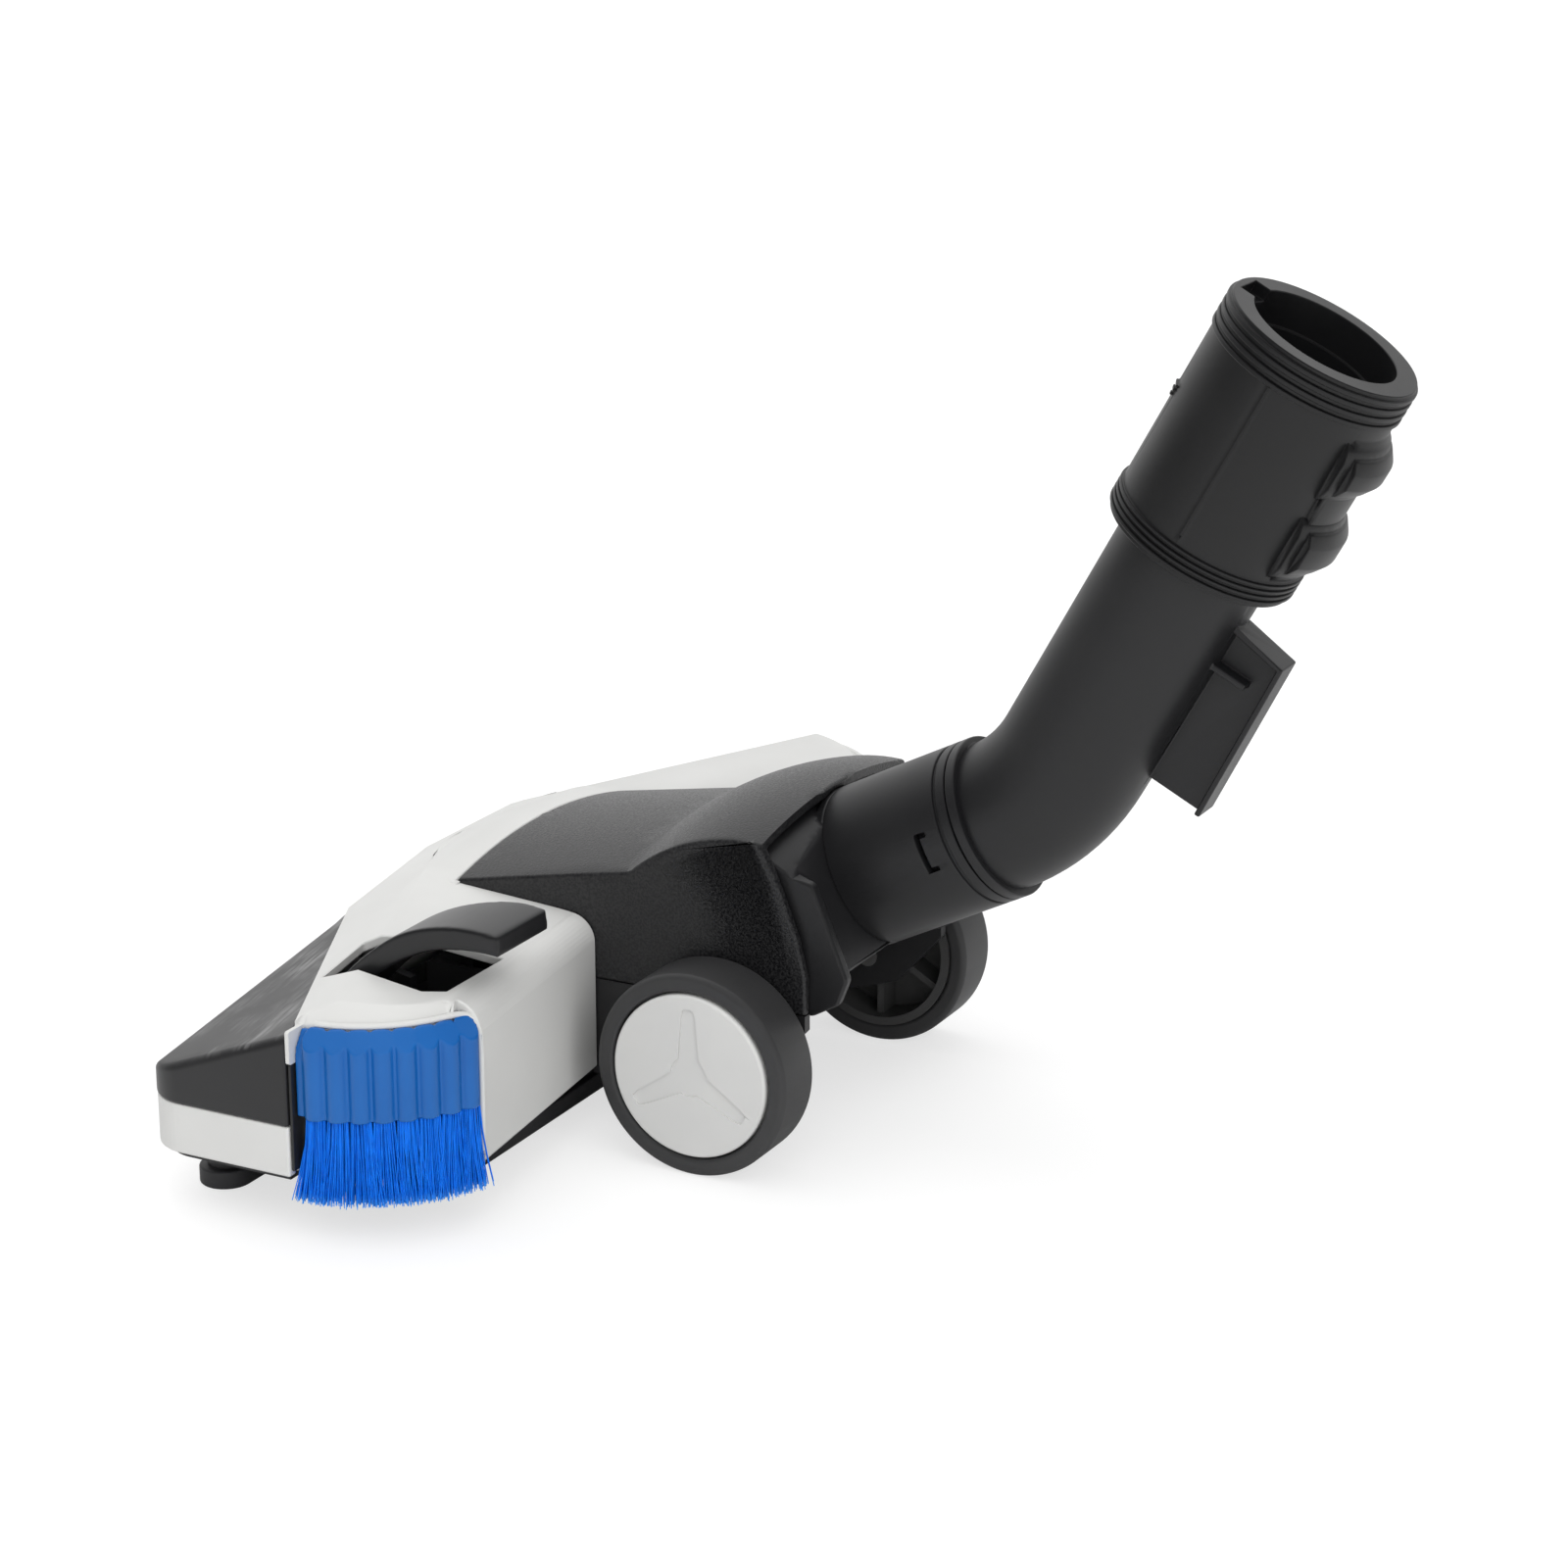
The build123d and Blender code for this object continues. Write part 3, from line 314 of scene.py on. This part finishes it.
# Front bumper: a charcoal plastic strip that wraps the nose and the two ends.
# It is clipped over the shell and takes the knocks, so its sloping faces carry pale rub marks.
bumper_plastic = moulded_plastic(
    "bumper_plastic", colour=(0.015, 0.015, 0.016), cloud_colour=(0.020, 0.020, 0.021),
    smooth=0.34, dull=0.44, grain_scale=3000.0, grain_depth=0.000016)
rub_group = bpy.data.node_groups.new("rub_marks", "ShaderNodeTree")
rub_group.interface.new_socket("Rub", in_out="OUTPUT", socket_type="NodeSocketFloat")
rub_out = rub_group.nodes.new("NodeGroupOutput")
rub_place = rub_group.nodes.new("ShaderNodeTexCoord")
rub_turn = rub_group.nodes.new("ShaderNodeMapping")
rub_turn.inputs["Rotation"].default_value = (0.0, 0.0, math.radians(-24.0))
rub_turn.inputs["Scale"].default_value = (90.0, 700.0, 300.0)
rub_streak = rub_group.nodes.new("ShaderNodeTexNoise")
rub_streak.inputs["Scale"].default_value = 1.0
rub_streak.inputs["Detail"].default_value = 4.0
rub_area = rub_group.nodes.new("ShaderNodeTexNoise")
rub_area.inputs["Scale"].default_value = 48.0
rub_area.inputs["Detail"].default_value = 3.0
rub_facing = rub_group.nodes.new("ShaderNodeNewGeometry")
rub_split = rub_group.nodes.new("ShaderNodeSeparateXYZ")
rub_masks = []
for source, low, high in ((rub_streak.outputs["Fac"], 0.36, 0.74), (rub_area.outputs["Fac"], 0.44, 0.66),
                          (rub_split.outputs["Z"], 0.45, 0.7)):
    mask = rub_group.nodes.new("ShaderNodeMapRange")
    mask.inputs["From Min"].default_value = low
    mask.inputs["From Max"].default_value = high
    rub_group.links.new(source, mask.inputs["Value"])
    rub_masks.append(mask)
rub_patch = rub_group.nodes.new("ShaderNodeMath")
rub_patch.operation = "MULTIPLY"
rub_both = rub_group.nodes.new("ShaderNodeMath")
rub_both.operation = "MULTIPLY"
rub_group.links.new(rub_place.outputs["Object"], rub_turn.inputs["Vector"])
rub_group.links.new(rub_turn.outputs["Vector"], rub_streak.inputs["Vector"])
rub_group.links.new(rub_place.outputs["Object"], rub_area.inputs["Vector"])
rub_group.links.new(rub_facing.outputs["Normal"], rub_split.inputs["Vector"])
rub_group.links.new(rub_masks[0].outputs["Result"], rub_patch.inputs[0])
rub_group.links.new(rub_masks[1].outputs["Result"], rub_patch.inputs[1])
rub_group.links.new(rub_patch.outputs[0], rub_both.inputs[0])
rub_group.links.new(rub_masks[2].outputs["Result"], rub_both.inputs[1])
rub_group.links.new(rub_both.outputs[0], rub_out.inputs["Rub"])
bumper_nodes = bumper_plastic.node_tree.nodes
bumper_links = bumper_plastic.node_tree.links
rub = bumper_nodes.new("ShaderNodeGroup")
rub.node_tree = rub_group
rubbed = bumper_nodes.new("ShaderNodeMix")
rubbed.data_type = "RGBA"
rubbed.inputs[7].default_value = (0.27, 0.27, 0.27, 1.0)
bumper_links.new(rub.outputs["Rub"], rubbed.inputs[0])
bumper_links.new(bumper_nodes["tint"].outputs[2], rubbed.inputs[6])
bumper_links.new(rubbed.outputs[2], bumper_nodes["Principled BSDF"].inputs["Base Color"])
rounded_copy("front_bumper", bumper_plastic, width=0.0006)

# Centre cover: the black hood over the tilt joint, its mould sparked to a coarse sandy grain.
# It is pressed over the chassis walls and fills the opening of the shell.
cover_plastic = moulded_plastic(
    "cover_plastic", colour=(0.006, 0.006, 0.007), cloud_colour=(0.009, 0.009, 0.010),
    smooth=0.30, dull=0.50, grain_scale=1700.0, grain_depth=0.00012)
cover_nodes = cover_plastic.node_tree.nodes
cover_links = cover_plastic.node_tree.links
speckle = cover_nodes.new("ShaderNodeMapRange")
speckle.inputs["From Min"].default_value = 0.38
speckle.inputs["From Max"].default_value = 0.62
cover_links.new(cover_nodes["skin"].outputs["Grain"], speckle.inputs["Value"])
cover_links.new(speckle.outputs["Result"], cover_nodes["tint"].inputs[0])
cover_links.new(cover_nodes["skin"].outputs["Grain"], cover_nodes["gloss"].inputs["Value"])
cover_nodes["tint"].inputs[7].default_value = (0.022, 0.022, 0.023, 1.0)
rounded_copy("centre_cover", cover_plastic, width=0.0008)

# Sole plate, chassis, pedal well and brush carriage: the black ABS parts that carry the others.
# They are plain mouldings, screwed or clipped together inside and under the shell.
black_plastic = moulded_plastic(
    "black_plastic", colour=(0.014, 0.014, 0.015), cloud_colour=(0.019, 0.019, 0.020),
    smooth=0.34, dull=0.46, grain_scale=3500.0, grain_depth=0.000012)
for node_name in ("sole_plate", "chassis_frame", "pedal_well",
                  "front_brush_bar", "rear_brush_bar", "lift_bridge"):
    dress(node_name, black_plastic)

# Side brush holders: fluted blocks of softer blue plastic, one at each end of the head.
# Each is pushed in under the lip of the shell and holds the tufts of its brush.
holder_plastic = moulded_plastic(
    "holder_plastic", colour=(0.002, 0.108, 0.40), cloud_colour=(0.004, 0.128, 0.45),
    smooth=0.28, dull=0.38, grain_scale=3800.0, grain_depth=0.000008)
end_centre = Vector((0.095375, -0.084455, 0.0))
end_radius = 0.03719
end_start = 5.44
end_turn = 69.56
flute_count = 8
flute_radius = 0.00278
flute_length = 0.024
flute_middle = 0.042
flute_top = 0.0470
flute_roof = 0.0512
flute_slope = 0.94
flute_inset = 0.0001
flute_back = 0.0057
groove_depth = 0.0022
wall_drop = 0.0014
upward = Vector((0.0, 0.0, 1.0))


def flute_angle(number):
    """The direction in which a flute faces, seen from the middle of the round end."""
    return math.radians(end_start + end_turn * (number + 0.5) / flute_count)


def soft_copy(work, node_name, material, voxel, rounds):
    """Puts a worked copy in the place of its node as one skin, with all its edges softened."""
    piece = moulded_piece(work, node_name, material)
    skin = piece.modifiers.new("one_skin", "REMESH")
    skin.mode = "VOXEL"
    skin.voxel_size = voxel
    skin.use_smooth_shade = True
    soften = piece.modifiers.new("soft_edges", "SMOOTH")
    soften.factor = 0.5
    soften.iterations = rounds
    stand_in(piece, node_name)


def flute_the_holder(work, mirror):
    """Draws the wall of a holder in to its grooves and sets slant-topped flutes in front of it."""
    middle_x = -end_centre.x if mirror else end_centre.x
    wall = end_radius - groove_depth
    wall_top = flute_top + flute_slope * groove_depth - wall_drop
    for corner in work.verts:
        step = Vector((corner.co.x - middle_x, corner.co.y - end_centre.y, 0.0))
        if step.length > wall:
            corner.co -= step * (1.0 - wall / step.length)
            corner.co.z = min(corner.co.z, wall_top)
    for number in range(flute_count):
        angle = flute_angle(number)
        outward = Vector((math.cos(angle), math.sin(angle), 0.0))
        middle = end_centre + outward * (end_radius - flute_radius - flute_inset)
        nose = middle + outward * flute_radius + Vector((0.0, 0.0, flute_top))
        slant = outward * flute_slope + upward
        back = end_centre + outward * (end_radius - flute_back)
        roof = Vector((0.0, 0.0, flute_roof))
        flute = bmesh.new()
        bmesh.ops.create_cone(flute, cap_ends=True, segments=48, depth=flute_length,
                              radius1=flute_radius, radius2=flute_radius)
        bmesh.ops.translate(flute, verts=flute.verts, vec=middle + Vector((0.0, 0.0, flute_middle)))
        for spot, away in ((nose, slant), (back, -outward), (roof, upward)):
            parts = flute.verts[:] + flute.edges[:] + flute.faces[:]
            cut = bmesh.ops.bisect_plane(flute, geom=parts, plane_co=spot, plane_no=away, clear_outer=True)
            rim = [item for item in cut["geom_cut"] if isinstance(item, bmesh.types.BMEdge)]
            if rim:
                bmesh.ops.contextual_create(flute, geom=rim)
        if mirror:
            bmesh.ops.scale(flute, vec=(-1.0, 1.0, 1.0), verts=flute.verts)
        bmesh.ops.recalc_face_normals(flute, faces=flute.faces)
        spare = bpy.data.meshes.new("flute")
        flute.to_mesh(spare)
        flute.free()
        work.from_mesh(spare)
        bpy.data.meshes.remove(spare)


for side, mirror in (("right", False), ("left", True)):
    node_name = "side_brush_holder_" + side
    holder_work = merged_copy(node_name)
    flute_the_holder(holder_work, mirror)
    soft_copy(holder_work, node_name, holder_plastic, voxel=0.00032, rounds=3)

# Holder beads: the rolled edge of the shell round the top and the rear of each holder.
# It is moulded with the shell in the same pale plastic and frames the blue brush.
bead_radius = 0.0008
bead_ring = 0.0312
bead_height = 0.0516
bead_start = 8.0
bead_turn = 54.0
bead_steps = 8
bead_rear = ((0.1068, -0.0553, 0.0516), (0.1044, -0.0541, 0.0512), (0.1034, -0.0524, 0.0500),
             (0.1031, -0.0510, 0.0480), (0.1032, -0.0505, 0.0445), (0.1033, -0.0505, 0.0300),
             (0.1033, -0.0506, 0.0180))
for side, sign in (("right", 1.0), ("left", -1.0)):
    bead_points = []
    for number in range(bead_steps + 1):
        angle = math.radians(bead_start + bead_turn * number / bead_steps)
        outward = Vector((math.cos(angle), math.sin(angle), 0.0))
        bead_points.append(end_centre + outward * bead_ring + Vector((0.0, 0.0, bead_height)))
    for place in bead_rear:
        bead_points.append(Vector(place))
    bead_line = bpy.data.curves.new("bead_line", "CURVE")
    bead_line.dimensions = "3D"
    bead_line.bevel_depth = bead_radius
    bead_line.bevel_resolution = 3
    bead_line.use_fill_caps = True
    bead_spline = bead_line.splines.new("NURBS")
    bead_spline.points.add(len(bead_points) - 1)
    for number, point in enumerate(bead_points):
        bead_spline.points[number].co = (sign * point.x, point.y, point.z, 1.0)
    bead_spline.order_u = 3
    bead_spline.use_endpoint_u = True
    bead_spline.resolution_u = 6
    bead_holder = bpy.data.objects.new("bead_line", bead_line)
    scene.collection.objects.link(bead_holder)
    bead_mesh = bpy.data.meshes.new_from_object(bead_holder)
    bpy.data.objects.remove(bead_holder)
    bead_mesh.name = "holder_bead_" + side
    bead_mesh.polygons.foreach_set("use_smooth", [True] * len(bead_mesh.polygons))
    bead_mesh.materials.clear()
    bead_mesh.materials.append(shell_plastic)
    bead = bpy.data.objects.new("holder_bead_" + side, bead_mesh)
    scene.collection.objects.link(bead)
    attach(bead, "head")

# Painted shade at the holders: a narrow black strip at the front of each holder, in the slot beside the
# bumper.
# It is painted shade: the strip stands in for the shade in the gap between the bumper and the blue brush.
gap_shade_size = (0.0150, 0.0008, 0.0262)
gap_shade_place = Vector((0.1242, -0.08405, 0.0297))
gap_shade_rounding = 0.0002
for side, sign in (("right", 1.0), ("left", -1.0)):
    gap_shade_work = bmesh.new()
    bmesh.ops.create_cube(gap_shade_work, size=1.0)
    bmesh.ops.scale(gap_shade_work, vec=gap_shade_size, verts=gap_shade_work.verts)
    gap_shade_shift = Vector((sign * gap_shade_place.x, gap_shade_place.y, gap_shade_place.z))
    bmesh.ops.translate(gap_shade_work, vec=gap_shade_shift, verts=gap_shade_work.verts)
    bmesh.ops.bevel(gap_shade_work, geom=gap_shade_work.edges, offset=gap_shade_rounding, offset_type="OFFSET",
                    affect="EDGES", segments=2, profile=0.5, material=-1)
    gap_shade_mesh = bpy.data.meshes.new("holder_gap_shade_" + side)
    gap_shade_work.to_mesh(gap_shade_mesh)
    gap_shade_work.free()
    # The black here is painted shade: the strip stands in for the dark of the gap.
    gap_shade_mesh.materials.append(black_plastic)
    gap_shade_strip = bpy.data.objects.new("holder_gap_shade_" + side, gap_shade_mesh)
    scene.collection.objects.link(gap_shade_strip)
    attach(gap_shade_strip, "head")

# Side bristles: tufts of bright blue nylon fibre, stapled into each flute of the holder.
# The fibres fan out a little towards their paler cut tips, and a few have been bent astray.
fibre_nylon = moulded_plastic(
    "fibre_nylon", colour=(0.002, 0.17, 0.82), cloud_colour=(0.003, 0.22, 0.95),
    smooth=0.30, dull=0.42, grain_scale=2000.0, grain_depth=0.000004, cloud_scale=500.0)
tip_nodes = fibre_nylon.node_tree.nodes
tip_nodes["Principled BSDF"].inputs["Specular IOR Level"].default_value = 0.25
tip_links = fibre_nylon.node_tree.links
tip_place = tip_nodes.new("ShaderNodeTexCoord")
tip_split = tip_nodes.new("ShaderNodeSeparateXYZ")
tip_height = tip_nodes.new("ShaderNodeMapRange")
tip_height.inputs["From Min"].default_value = 0.0122
tip_height.inputs["From Max"].default_value = 0.0098
tip_colour = tip_nodes.new("ShaderNodeMix")
tip_colour.data_type = "RGBA"
tip_colour.inputs[7].default_value = (0.05, 0.32, 0.90, 1.0)
tip_links.new(tip_place.outputs["Object"], tip_split.inputs["Vector"])
tip_links.new(tip_split.outputs["Z"], tip_height.inputs["Value"])
tip_links.new(tip_height.outputs["Result"], tip_colour.inputs[0])
tip_links.new(tip_nodes["tint"].outputs[2], tip_colour.inputs[6])
tip_links.new(tip_colour.outputs[2], tip_nodes["Principled BSDF"].inputs["Base Color"])
tuft_ring = 0.0342
tuft_spread = 3.9
tuft_depth = 0.0016
tuft_swing = 0.0008
fibres_in_tuft = 190
fibre_radius = 0.00015
fibre_steps = 3
fan_out = 0.0009
fan_by_depth = 0.55
fan_side = 0.0013
scatter_out = 0.00055
scatter_side = 0.0006
scatter_tip = 0.0007
stray_share = 0.04
stray_lean = 2.6
bend_out = 1.7
bend_side = 1.4
tip_taper = 0.25


def fibre_mesh(name, lines, thickness, material):
    """Turns lists of points into thin tapered fibres, joined in one mesh."""
    strands = bpy.data.curves.new(name + "_strands", "CURVE")
    strands.dimensions = "3D"
    strands.bevel_depth = thickness
    strands.bevel_resolution = 0
    strands.use_fill_caps = True
    for points in lines:
        strand = strands.splines.new("POLY")
        strand.points.add(len(points) - 1)
        for number, point in enumerate(points):
            strand.points[number].co = (*point, 1.0)
            strand.points[number].radius = 1.0 - tip_taper * number / (len(points) - 1)
    holder = bpy.data.objects.new(name + "_strands", strands)
    scene.collection.objects.link(holder)
    mesh = bpy.data.meshes.new_from_object(holder)
    bpy.data.objects.remove(holder)
    mesh.name = name
    mesh.materials.clear()
    mesh.materials.append(material)
    return mesh


def bristle_lines(low, high, mirror, seed):
    """The fibres of one end brush, each a line from its root in a flute down to its tip."""
    chance = random.Random(seed)
    lines = []
    for flute in range(flute_count):
        swing = chance.gauss(-0.5, 0.8)
        for fibre in range(fibres_in_tuft):
            across = chance.uniform(-1.0, 1.0)
            angle = flute_angle(flute) + math.radians(tuft_spread * across)
            outward = Vector((math.cos(angle), math.sin(angle), 0.0))
            sideways = Vector((-math.sin(angle), math.cos(angle), 0.0))
            depth = chance.uniform(-tuft_depth, tuft_depth)
            root = end_centre + outward * (tuft_ring + depth)
            stray = stray_lean if chance.random() < stray_share else 1.0
            lean_out = fan_out + fan_by_depth * depth + stray * chance.gauss(0.0, scatter_out)
            lean_side = fan_side * across + tuft_swing * swing + stray * chance.gauss(0.0, scatter_side)
            if stray > 1.0:
                lean_out = abs(lean_out)
            tip = low.z + abs(chance.gauss(0.0, scatter_tip))
            points = []
            for step in range(fibre_steps + 1):
                share = step / fibre_steps
                place = root + outward * lean_out * share ** bend_out
                place += sideways * lean_side * share ** bend_side
                place.z = high.z + (tip - high.z) * share
                if mirror:
                    place.x = -place.x
                points.append(place)
            lines.append(points)
    return lines


for side, mirror, seed in (("right", False, 11), ("left", True, 12)):
    node_name = "side_bristles_" + side
    tuft_low, tuft_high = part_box(node_name)
    tuft_lines = bristle_lines(tuft_low, tuft_high, mirror, seed)
    tuft_mesh = fibre_mesh("side_fibres_" + side, tuft_lines, fibre_radius, fibre_nylon)
    tufts = bpy.data.objects.new("side_fibres_" + side, tuft_mesh)
    scene.collection.objects.link(tufts)
    stand_in(tufts, node_name)

# Brush strips: two long black rubber strips that stand on the floor under the brush carriage.
# They are extruded, cut with round ends and pressed onto the carriage bars.
strip_rubber = moulded_plastic(
    "strip_rubber", colour=(0.024, 0.024, 0.026), cloud_colour=(0.032, 0.032, 0.034),
    smooth=0.45, dull=0.6, grain_scale=1800.0, grain_depth=0.00004)
for node_name in ("front_brush_strip", "rear_brush_strip"):
    rounded_copy(node_name, strip_rubber, width=0.0006)

# Thread lifters: two narrow tapes of red pile, glued along the suction mouth.
# The pile leans back towards the mouth, so that it lets go of threads in one direction.
lifter_pile = moulded_plastic(
    "lifter_pile", colour=(0.36, 0.018, 0.014), cloud_colour=(0.22, 0.010, 0.008),
    smooth=0.65, dull=0.85, grain_scale=2500.0, grain_depth=0.00002, cloud_scale=300.0)
pile_rows = 6
pile_places = 240
pile_radius = 0.00025
pile_scatter = 0.0002
for node_name, lean, seed in (("thread_lifter_front", 0.0005, 19), ("thread_lifter_rear", -0.0005, 18)):
    tape_low, tape_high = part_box(node_name)
    chance = random.Random(seed)
    pile_lines = []
    for row in range(pile_rows):
        for place in range(pile_places):
            x = tape_low.x + (tape_high.x - tape_low.x) * (place + chance.uniform(0.2, 0.8)) / pile_places
            y = tape_low.y + (tape_high.y - tape_low.y) * (row + chance.uniform(0.2, 0.8)) / pile_rows
            tip_x = x + chance.gauss(0.0, pile_scatter)
            tip_z = tape_low.z + chance.uniform(0.0, pile_scatter)
            pile_lines.append([Vector((x, y, tape_high.z)), Vector((tip_x, y + lean, tip_z))])
    pile_mesh = fibre_mesh(node_name + "_pile", pile_lines, pile_radius, lifter_pile)
    pile = bpy.data.objects.new(node_name + "_pile", pile_mesh)
    scene.collection.objects.link(pile)
    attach(pile, body_names[node_name])
    dress(node_name, lifter_pile)

# Pins and screws: drawn steel wire for the pins and zinc plated steel for the screws.
# The pins are pressed into the chassis and the well, and the screws close the head from below.
pin_steel = moulded_plastic(
    "pin_steel", colour=(0.5, 0.5, 0.5), cloud_colour=(0.42, 0.42, 0.42),
    smooth=0.25, dull=0.4, grain_scale=3000.0, grain_depth=0.000004)
pin_steel.node_tree.nodes["Principled BSDF"].inputs["Metallic"].default_value = 1.0
for node_name in ("pedal_pin", "housing_screws", "axle_pin_right", "axle_pin_left"):
    dress(node_name, pin_steel)

# Foot pedal: a curved lever of smooth black plastic, rubbed to a soft shine by the foot.
# It turns on a steel pin in its well and lifts the brush carriage with its front arm.
pedal_plastic = moulded_plastic(
    "pedal_plastic", colour=(0.009, 0.009, 0.010), cloud_colour=(0.013, 0.013, 0.014),
    smooth=0.28, dull=0.37, grain_scale=4000.0, grain_depth=0.000008)
soft_copy(merged_copy("floor_pedal"), "floor_pedal", pedal_plastic, voxel=0.00045, rounds=22)

# Wheels: black rubber tyres on spoked black hubs, with pale caps pushed over the outer hub ends.
# The hubs are moulded open towards the chassis and run on the steel axle pins.
tyre_rubber = moulded_plastic(
    "tyre_rubber", colour=(0.030, 0.030, 0.031), cloud_colour=(0.038, 0.038, 0.039),
    smooth=0.42, dull=0.54, grain_scale=2200.0, grain_depth=0.00002)
hub_plastic = moulded_plastic(
    "hub_plastic", colour=(0.050, 0.050, 0.050), cloud_colour=(0.062, 0.062, 0.062),
    smooth=0.36, dull=0.48, grain_scale=3500.0, grain_depth=0.000012)
cap_plastic = moulded_plastic(
    "cap_plastic", colour=(0.66, 0.66, 0.645), cloud_colour=(0.62, 0.62, 0.61),
    smooth=0.36, dull=0.48, grain_scale=4000.0, grain_depth=0.00001)
for side in ("right", "left"):
    rounded_copy("wheel_tyre_" + side, tyre_rubber, width=0.0010)
    dress("wheel_hub_" + side, hub_plastic)
    rounded_copy("wheel_cap_" + side, cap_plastic, width=0.00025)

# Neck yoke and swivel sleeve: a black barrel with two ears, and the sleeve joined to its back plate.
# The yoke hangs by two moulded pins in the sides of the cover.
neck_plastic = moulded_plastic(
    "neck_plastic", colour=(0.009, 0.009, 0.010), cloud_colour=(0.013, 0.013, 0.014),
    smooth=0.38, dull=0.48, grain_scale=3000.0, grain_depth=0.000016)
rounded_copy("neck_yoke", neck_plastic, width=0.0008)
rounded_copy("swivel_sleeve", neck_plastic, width=0.0003)

# Elbow and collar: the bent black tube with a fin behind, and the ribbed collar over its end.
# A ring holds the elbow in the sleeve, and the collar takes the wand.
rounded_copy("elbow_tube", neck_plastic, width=0.0004)
dress("swivel_ring", neck_plastic)
collar_plastic = moulded_plastic(
    "collar_plastic", colour=(0.004, 0.004, 0.0045), cloud_colour=(0.007, 0.007, 0.0075),
    smooth=0.36, dull=0.46, grain_scale=3000.0, grain_depth=0.000016)
rounded_copy("hose_collar", collar_plastic, width=0.0003)
